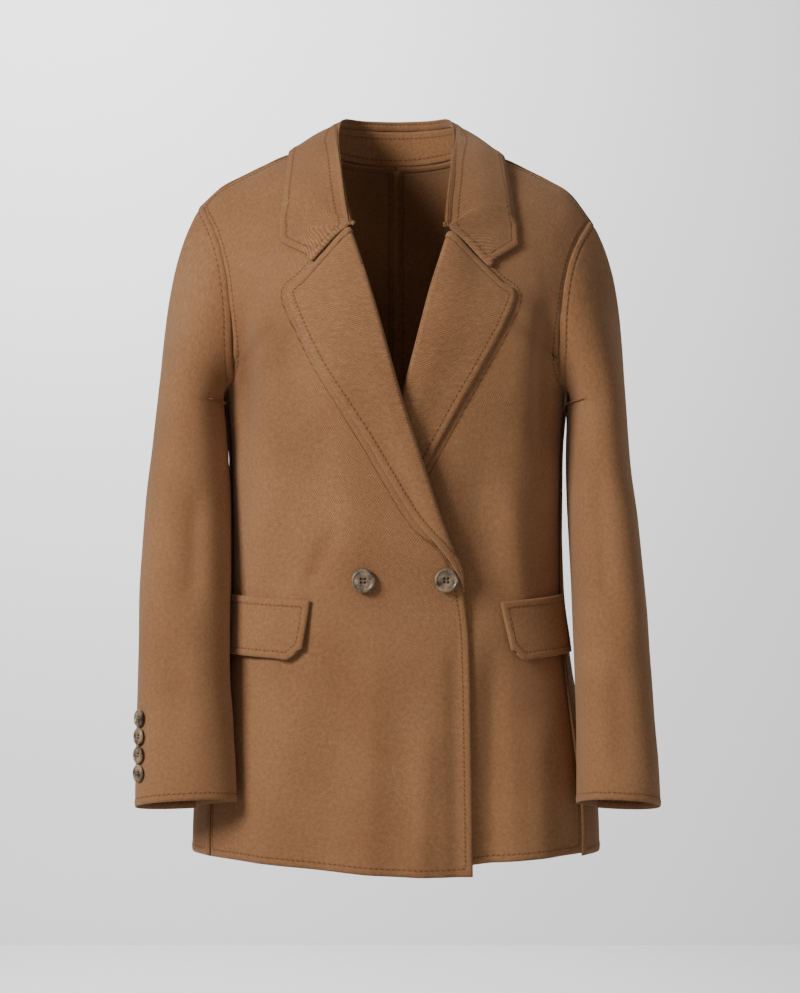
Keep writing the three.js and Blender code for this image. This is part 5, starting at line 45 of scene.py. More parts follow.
    "pocket_flap_right": dict(flip=True, closed=False, fine=(5, 5), keep=["111111111", "111111111", "111111111", "111111111", "111111111", "111111111"], rows=[[[-83.8,-112,-455.4],[-96.5,-106.1,-454.8],[-108.7,-99.8,-454.3],[-120.9,-93.4,-453.7],[-132.6,-86,-453.2],[-143.5,-77.2,-452.6],[-153,-66.7,-452],[-160.9,-54.7,-451.5],[-166.6,-41.5,-450.9]],[[-85.2,-111.5,-465.1],[-97.8,-105.9,-464.6],[-110,-99.8,-464],[-122.1,-93.4,-463.5],[-133.7,-86.1,-462.9],[-144.5,-77.2,-462.3],[-154,-66.8,-461.8],[-161.7,-54.8,-461.2],[-167.4,-41.6,-460.6]],[[-86.7,-111.6,-474.8],[-99.2,-106.1,-474.3],[-111.5,-100.1,-473.8],[-123.5,-93.8,-473.2],[-135.1,-86.4,-472.6],[-145.8,-77.5,-472.1],[-155.2,-67.1,-471.5],[-162.9,-55.1,-470.9],[-168.6,-41.9,-470.3]],[[-88.4,-112,-484.6],[-100.9,-106.6,-484],[-113,-100.6,-483.5],[-125.1,-94.3,-482.9],[-136.6,-86.8,-482.4],[-147.3,-77.9,-481.8],[-156.6,-67.4,-481.2],[-164.3,-55.4,-480.6],[-170,-42.2,-480.1]],[[-90.1,-112.4,-494.3],[-102.5,-107,-493.8],[-114.7,-101,-493.2],[-126.7,-94.7,-492.7],[-138.2,-87.2,-492.1],[-148.8,-78.3,-491.5],[-158.1,-67.7,-490.9],[-165.8,-55.8,-490.3],[-171.5,-42.6,-489.8]],[[-91.7,-112.5,-502.8],[-104.2,-107.2,-503.5],[-116.3,-101.3,-503],[-128.3,-95,-502.4],[-139.7,-87.5,-501.8],[-150.2,-78.5,-501.2],[-159.5,-68,-500.6],[-167.2,-56,-500.1],[-172.8,-42.9,-499.5]],[[-92.9,-112.3,-502.8],[-105.8,-107.1,-513.2],[-117.9,-101.3,-512.7],[-129.8,-95,-512.1],[-141.2,-87.5,-511.5],[-151.6,-78.5,-510.9],[-160.8,-68,-510.3],[-168.4,-56.1,-509.7],[-174,-43,-509.2]]]),
    "pocket_flap_left": dict(flip=False, closed=False, fine=(5, 5), keep=["111111111", "111111111", "111111111", "111111111", "111111111", "111111111"], rows=[[[102.7,-101.8,-456.9],[113.1,-97.4,-456.2],[123.2,-92.1,-455.4],[132.9,-85.9,-454.7],[142,-78.7,-453.9],[150.2,-70.3,-453.2],[157.3,-60.8,-452.4],[163.1,-50.3,-451.7],[167.4,-39.1,-450.9]],[[104.6,-101.7,-466.7],[114.9,-97.3,-465.9],[124.9,-92,-465.2],[134.4,-85.7,-464.4],[143.3,-78.5,-463.6],[151.3,-70.1,-462.9],[158.3,-60.7,-462.1],[164,-50.4,-461.4],[168.2,-39.3,-460.6]],[[106.7,-101.9,-476.4],[116.9,-97.4,-475.6],[126.7,-92.1,-474.9],[136.1,-85.8,-474.1],[144.8,-78.5,-473.4],[152.8,-70.2,-472.6],[159.6,-60.8,-471.9],[165.2,-50.5,-471.1],[169.4,-39.5,-470.3]],[[109,-102.2,-486.1],[119,-97.6,-485.4],[128.7,-92.3,-484.6],[137.9,-86,-483.9],[146.6,-78.7,-483.1],[154.4,-70.3,-482.3],[161.2,-61,-481.6],[166.7,-50.8,-480.8],[170.8,-39.8,-480.1]],[[111.3,-102.5,-495.9],[121.2,-97.9,-495.1],[130.7,-92.4,-494.3],[139.9,-86.1,-493.6],[148.4,-78.8,-492.8],[156.1,-70.5,-492],[162.8,-61.2,-491.3],[168.2,-51,-490.5],[172.3,-40.1,-489.8]],[[113.5,-102.5,-504.4],[123.3,-97.9,-504.8],[132.8,-92.4,-504.1],[141.7,-86.1,-503.3],[150.1,-78.8,-502.5],[157.7,-70.5,-501.8],[164.2,-61.2,-501],[169.6,-51.1,-500.2],[173.7,-40.4,-499.5]],[[115.1,-102,-504.3],[125.5,-97.6,-514.2],[134.8,-92.1,-513.8],[143.6,-85.8,-513],[151.8,-78.5,-512.2],[159.2,-70.3,-511.5],[165.6,-61.1,-510.7],[170.9,-51.1,-509.9],[174.9,-40.6,-509.2]]]),
    "back_seam_strip": dict(flip=False, closed=False, fine=(12, 3), keep=["11", "11", "11", "11", "11", "11", "11", "11", "11", "11", "11", "11", "11"], rows=[[[-3.6,107.8,-709],[3.6,107.8,-709]],[[-3.6,105.7,-655.6],[3.6,105.7,-655.6]],[[-3.6,101.5,-602],[3.6,101.5,-602]],[[-3.6,97.9,-548.5],[3.6,97.9,-548.5]],[[-3.6,94.4,-494.9],[3.6,94.4,-494.9]],[[-3.6,91.8,-441.3],[3.6,91.8,-441.3]],[[-3.6,91.7,-387.8],[3.6,91.7,-387.8]],[[-3.6,92.8,-334.1],[3.6,92.8,-334.1]],[[-3.6,97.5,-280.5],[3.6,97.5,-280.5]],[[-3.6,102.3,-227],[3.6,102.3,-227]],[[-3.6,105.3,-173.5],[3.6,105.3,-173.5]],[[-3.6,106.7,-120.1],[3.6,106.7,-120.1]],[[-3.6,96.1,-67.1],[3.6,96.1,-67.1]],[[-3.6,66,-14.3],[3.6,66,-14.3]]]),
    "collar_fall": dict(flip=True, closed=False, fine=(6, 5), keep=["00011111", "00011111", "00011111", "11111111", "11111111", "11111111", "11111111", "11111111", "11111111", "11111111", "11111111", "11111111", "11111111", "11111111", "11111111", "11111111", "11111111", "11111111", "11111111", "11111111", "11111111", "11111111", "11111111", "11111111", "11111111", "11111111", "11111111", "11111111", "11111111", "11111111", "11111111", "00011111", "00011111", "00011111"], rows=[[[-49,-98,-85.4],[-46.1,-100.3,-84.8],[-44.5,-101.5,-84.4],[-79.7,-108.5,-119.7],[-87.9,-102.8,-114.8],[-96.9,-97.1,-110],[-106,-91.2,-105.3],[-115.2,-85,-100.4]],[[-49,-98,-85.4],[-46.1,-100.3,-84.8],[-44.5,-101.5,-84.4],[-69.5,-108,-107.9],[-81.4,-100.2,-102.8],[-91.8,-93,-97.6],[-103.4,-85.8,-92.6],[-115.2,-78.2,-87.4]],[[-49,-98,-85.4],[-46.1,-100.3,-84.8],[-44.5,-101.5,-84.4],[-59.2,-105.7,-96.8],[-73.7,-97.4,-91.2],[-87,-88.1,-85.7],[-100.9,-79.9,-80.2],[-115.3,-71,-74.7]],[[-49,-98,-85.4],[-46.1,-100.3,-84.8],[-44.5,-101.5,-84.4],[-43.9,-102.2,-84.1],[-44.2,-102.5,-83.7],[-48.8,-99.9,-82.9],[-81.1,-82.5,-67.6],[-113.7,-64.9,-63.4]],[[-49.3,-95.9,-83.3],[-46.7,-97.8,-83],[-45.3,-99,-82.8],[-44.7,-99.7,-82.6],[-44.9,-99.8,-82.2],[-49.2,-97.1,-81],[-81.1,-77.4,-59.1],[-113.1,-57.6,-52.3]],[[-54,-83.2,-66],[-50.6,-85.3,-65],[-48.8,-86.3,-64.3],[-48.1,-86.8,-63.9],[-48.2,-86.8,-63.2],[-52.7,-84.1,-62.3],[-82.4,-66.9,-43.9],[-112.4,-49.5,-40.6]],[[-58.5,-62.9,-35.1],[-55.1,-62.4,-30.8],[-53.6,-62,-28.4],[-53.2,-61.6,-27.1],[-54.3,-60.8,-25.8],[-59.1,-59.3,-26.3],[-84.9,-50.8,-24.2],[-111.1,-42.2,-28.8]],[[-61,-45.8,-14.7],[-57.8,-44.5,-10.5],[-56.3,-43.6,-8.1],[-56,-43.1,-6.7],[-57.2,-42.3,-5.6],[-62.1,-41.6,-6.7],[-86.1,-37.5,-10],[-110.4,-33.4,-18.5]],[[-63.6,-31.7,-2.2],[-59.7,-30.5,1.7],[-57.9,-29.8,3.9],[-57.5,-29.3,5.2],[-58.5,-28.7,6.2],[-63.4,-28.1,4.9],[-86.4,-25.2,0.8],[-109.6,-22.1,-8.9]],[[-65.4,-17.6,7.2],[-60.8,-17.2,10.5],[-58.6,-16.8,12.6],[-58,-16.6,13.6],[-58.7,-16.2,14.5],[-63.6,-15.7,13.2],[-86,-13.1,8.4],[-108.7,-10.4,-2]],[[-62.5,2.5,18.9],[-58.7,-0.2,22],[-56.9,-1.8,23.9],[-56.5,-2.5,24.9],[-57.4,-3.1,25.6],[-62.1,-2.2,23.8],[-84.7,0.9,14.9],[-107.3,4.1,-0.1]],[[-60.1,13.2,23.3],[-56.5,11.1,27.2],[-54.9,10,29.4],[-54.6,9.5,30.6],[-55.5,9.3,31.5],[-59.9,10.4,29.3],[-82.3,15.3,17],[-104.4,20.2,-1.8]],[[-55.8,25.8,26],[-52.7,24,30.2],[-51.3,23.2,32.7],[-51,23,34.1],[-51.9,23.3,34.9],[-55.5,25.2,32.2],[-74.7,34.6,14.5],[-93.2,43.7,-10.4]],[[-49.8,36.6,26.5],[-47.1,34.9,31],[-46,34.2,33.7],[-45.8,34.2,35.2],[-46.6,34.9,36],[-49.5,37.1,33],[-64.9,49,10.7],[-79.4,60.2,-19.1]],[[-39.5,47.6,26.5],[-37.4,46,31.2],[-36.4,45.4,33.9],[-36.3,45.5,35.5],[-37,46.4,36.2],[-39.3,48.9,33.1],[-50.6,61.2,9.7],[-61,72.4,-21.3]],[[-27.4,54.3,26.3],[-25.9,52.5,31.1],[-25.3,51.9,33.9],[-25.2,52,35.5],[-25.7,53.1,36.3],[-27.3,55.8,33],[-34.7,68.5,9.5],[-41.2,79.7,-21.9]],[[-14,57.2,26.3],[-13.2,55.2,31.1],[-12.9,54.4,33.9],[-12.9,54.5,35.5],[-13.2,55.7,36.3],[-14,58.7,33],[-17.6,71.7,9.7],[-20.8,83.2,-21.4]],[[0,59.1,26.2],[0,57,31.1],[0,56.3,33.9],[0,56.4,35.5],[0,57.7,36.3],[0,60.7,32.9],[0,74.2,8.5],[0,86,-23.8]],[[14,57.2,26.3],[13.2,55.2,31.1],[12.9,54.4,33.9],[12.9,54.5,35.5],[13.2,55.7,36.3],[14,58.7,33],[17.6,71.7,9.7],[20.8,83.2,-21.4]],[[27.4,54.3,26.3],[25.9,52.5,31.1],[25.3,51.9,33.9],[25.2,52,35.5],[25.7,53.1,36.3],[27.3,55.8,33],[34.7,68.5,9.5],[41.2,79.7,-21.9]],[[39.5,47.6,26.5],[37.4,46,31.2],[36.4,45.4,33.9],[36.3,45.5,35.5],[37,46.4,36.2],[39.3,48.9,33.1],[50.6,61.2,9.7],[61,72.4,-21.3]],[[49.8,36.6,26.5],[47.1,34.9,31],[46,34.2,33.7],[45.8,34.2,35.2],[46.6,34.9,36],[49.5,37.1,33],[64.9,49,10.7],[79.4,60.2,-19.1]],[[55.8,25.8,26],[52.7,24,30.2],[51.3,23.2,32.7],[51,23,34.1],[51.9,23.3,34.9],[55.5,25.2,32.2],[74.6,34.6,13.8],[93,43.7,-11.8]],[[60.1,13.2,23.3],[56.5,11.1,27.2],[54.9,10,29.4],[54.6,9.5,30.6],[55.5,9.3,31.4],[59.8,10.4,29.1],[82.1,15.3,15.3],[104.2,20.2,-5.2]],[[62.5,2.5,18.9],[58.7,-0.2,22],[56.9,-1.8,23.9],[56.5,-2.5,24.9],[57.4,-3.1,25.6],[62,-2.3,23.6],[85,0.9,12.8],[107.9,4.1,-4.3]],[[65.4,-17.6,7.2],[60.8,-17.2,10.5],[58.6,-16.8,12.6],[58,-16.6,13.6],[58.6,-16.2,14.5],[63.5,-15.7,12.9],[86.7,-13.1,6.1],[110,-10.4,-6.6]],[[63.6,-31.7,-2.2],[59.7,-30.5,1.7],[57.9,-29.8,3.9],[57.5,-29.3,5.2],[58.5,-28.7,6.1],[63.3,-28.2,4.7],[87.3,-25.1,-1.7],[111.5,-22.1,-13.8]],[[61,-45.8,-14.7],[57.8,-44.5,-10.5],[56.3,-43.6,-8.1],[56,-43.1,-6.7],[57.2,-42.3,-5.7],[62.1,-41.7,-7],[87.2,-37.5,-11.7],[112.7,-33.3,-23.7]],[[59,-62.8,-35.2],[55.7,-62.2,-30.9],[54.2,-61.8,-28.4],[53.9,-61.4,-27.1],[55,-60.6,-25.9],[59.8,-59.2,-26.7],[86.8,-50.9,-25.5],[114.2,-42.5,-34.9]],[[55.9,-82.6,-66.1],[53.2,-84.3,-65],[51.8,-85.2,-64.3],[51.2,-85.8,-63.7],[51.5,-85.8,-62.8],[56.1,-83.2,-62.3],[86.1,-67,-45.9],[116.4,-50.6,-48.3]],[[54.1,-94,-85.2],[51.9,-95.9,-85],[50.7,-97,-84.8],[50.1,-97.8,-84.6],[50.5,-98.1,-84.3],[54.9,-95.4,-83.3],[86.2,-77.4,-62],[117.8,-59.3,-61.6]],[[55.3,-95.7,-87.8],[52.4,-98,-87.2],[50.9,-99.4,-86.8],[50.3,-100.2,-86.5],[50.7,-100.5,-86.1],[55.4,-98,-85.6],[86.9,-82.5,-70.8],[118.9,-66.7,-73.6]],[[55.3,-95.7,-87.8],[52.4,-98,-87.2],[50.9,-99.4,-86.8],[66.8,-101.8,-100.3],[80.7,-94.4,-95.9],[93.9,-87.3,-91.5],[107.5,-79.3,-87.1],[121,-71,-82.8]],[[55.3,-95.7,-87.8],[52.4,-98,-87.2],[50.9,-99.4,-86.8],[78.3,-102.6,-112.4],[88.9,-96.8,-107.6],[99.8,-90.5,-102.8],[110.5,-83.7,-98],[121.3,-76.6,-93.2]],[[55.3,-95.7,-87.8],[52.4,-98,-87.2],[50.9,-99.4,-86.8],[89.8,-103.3,-124.9],[97.8,-98.4,-119.6],[105.8,-93.2,-114.4],[113.7,-87.7,-109.2],[121.7,-81.9,-103.9]]]),
    "collar_stand": dict(flip=True, closed=False, fine=(6, 5), keep=["1111", "1111", "1111", "1111", "1111", "1111", "1111", "1111", "1111", "1111"], rows=[[[-79.8,16.3,0.2],[-74.4,9.7,4.8],[-68.9,3.1,9.4],[-63.5,-3.4,14.1]],[[-77.3,22.2,-0.4],[-71.9,18,7.1],[-66.6,13.7,14.6],[-61.2,9.5,22.1]],[[-68.7,35.7,-2.3],[-64.1,33.1,7.1],[-59.6,30.4,16.6],[-55,27.8,26]],[[-54.3,49.4,-5],[-50.9,47.4,5.4],[-47.5,45.4,15.8],[-44.1,43.5,26.3]],[[-27.2,62.6,-8.5],[-25.5,60.4,3],[-23.7,58.1,14.6],[-22,55.8,26.1]],[[0,66.4,-9.7],[0,64,2.2],[0,61.6,14.1],[0,59.1,26]],[[27.2,62.6,-8.5],[25.5,60.4,3],[23.7,58.1,14.6],[22,55.8,26.1]],[[54.3,49.4,-5],[50.9,47.4,5.4],[47.5,45.4,15.8],[44.1,43.5,26.3]],[[68.7,35.7,-2.3],[64.1,33.1,7.1],[59.6,30.4,16.6],[55,27.8,26]],[[77.3,22.2,-0.4],[71.9,18,7.1],[66.6,13.7,14.6],[61.2,9.5,22.1]],[[79.8,16.3,0.2],[74.4,9.7,4.8],[68.9,3.1,9.4],[63.5,-3.4,14.1]]]),
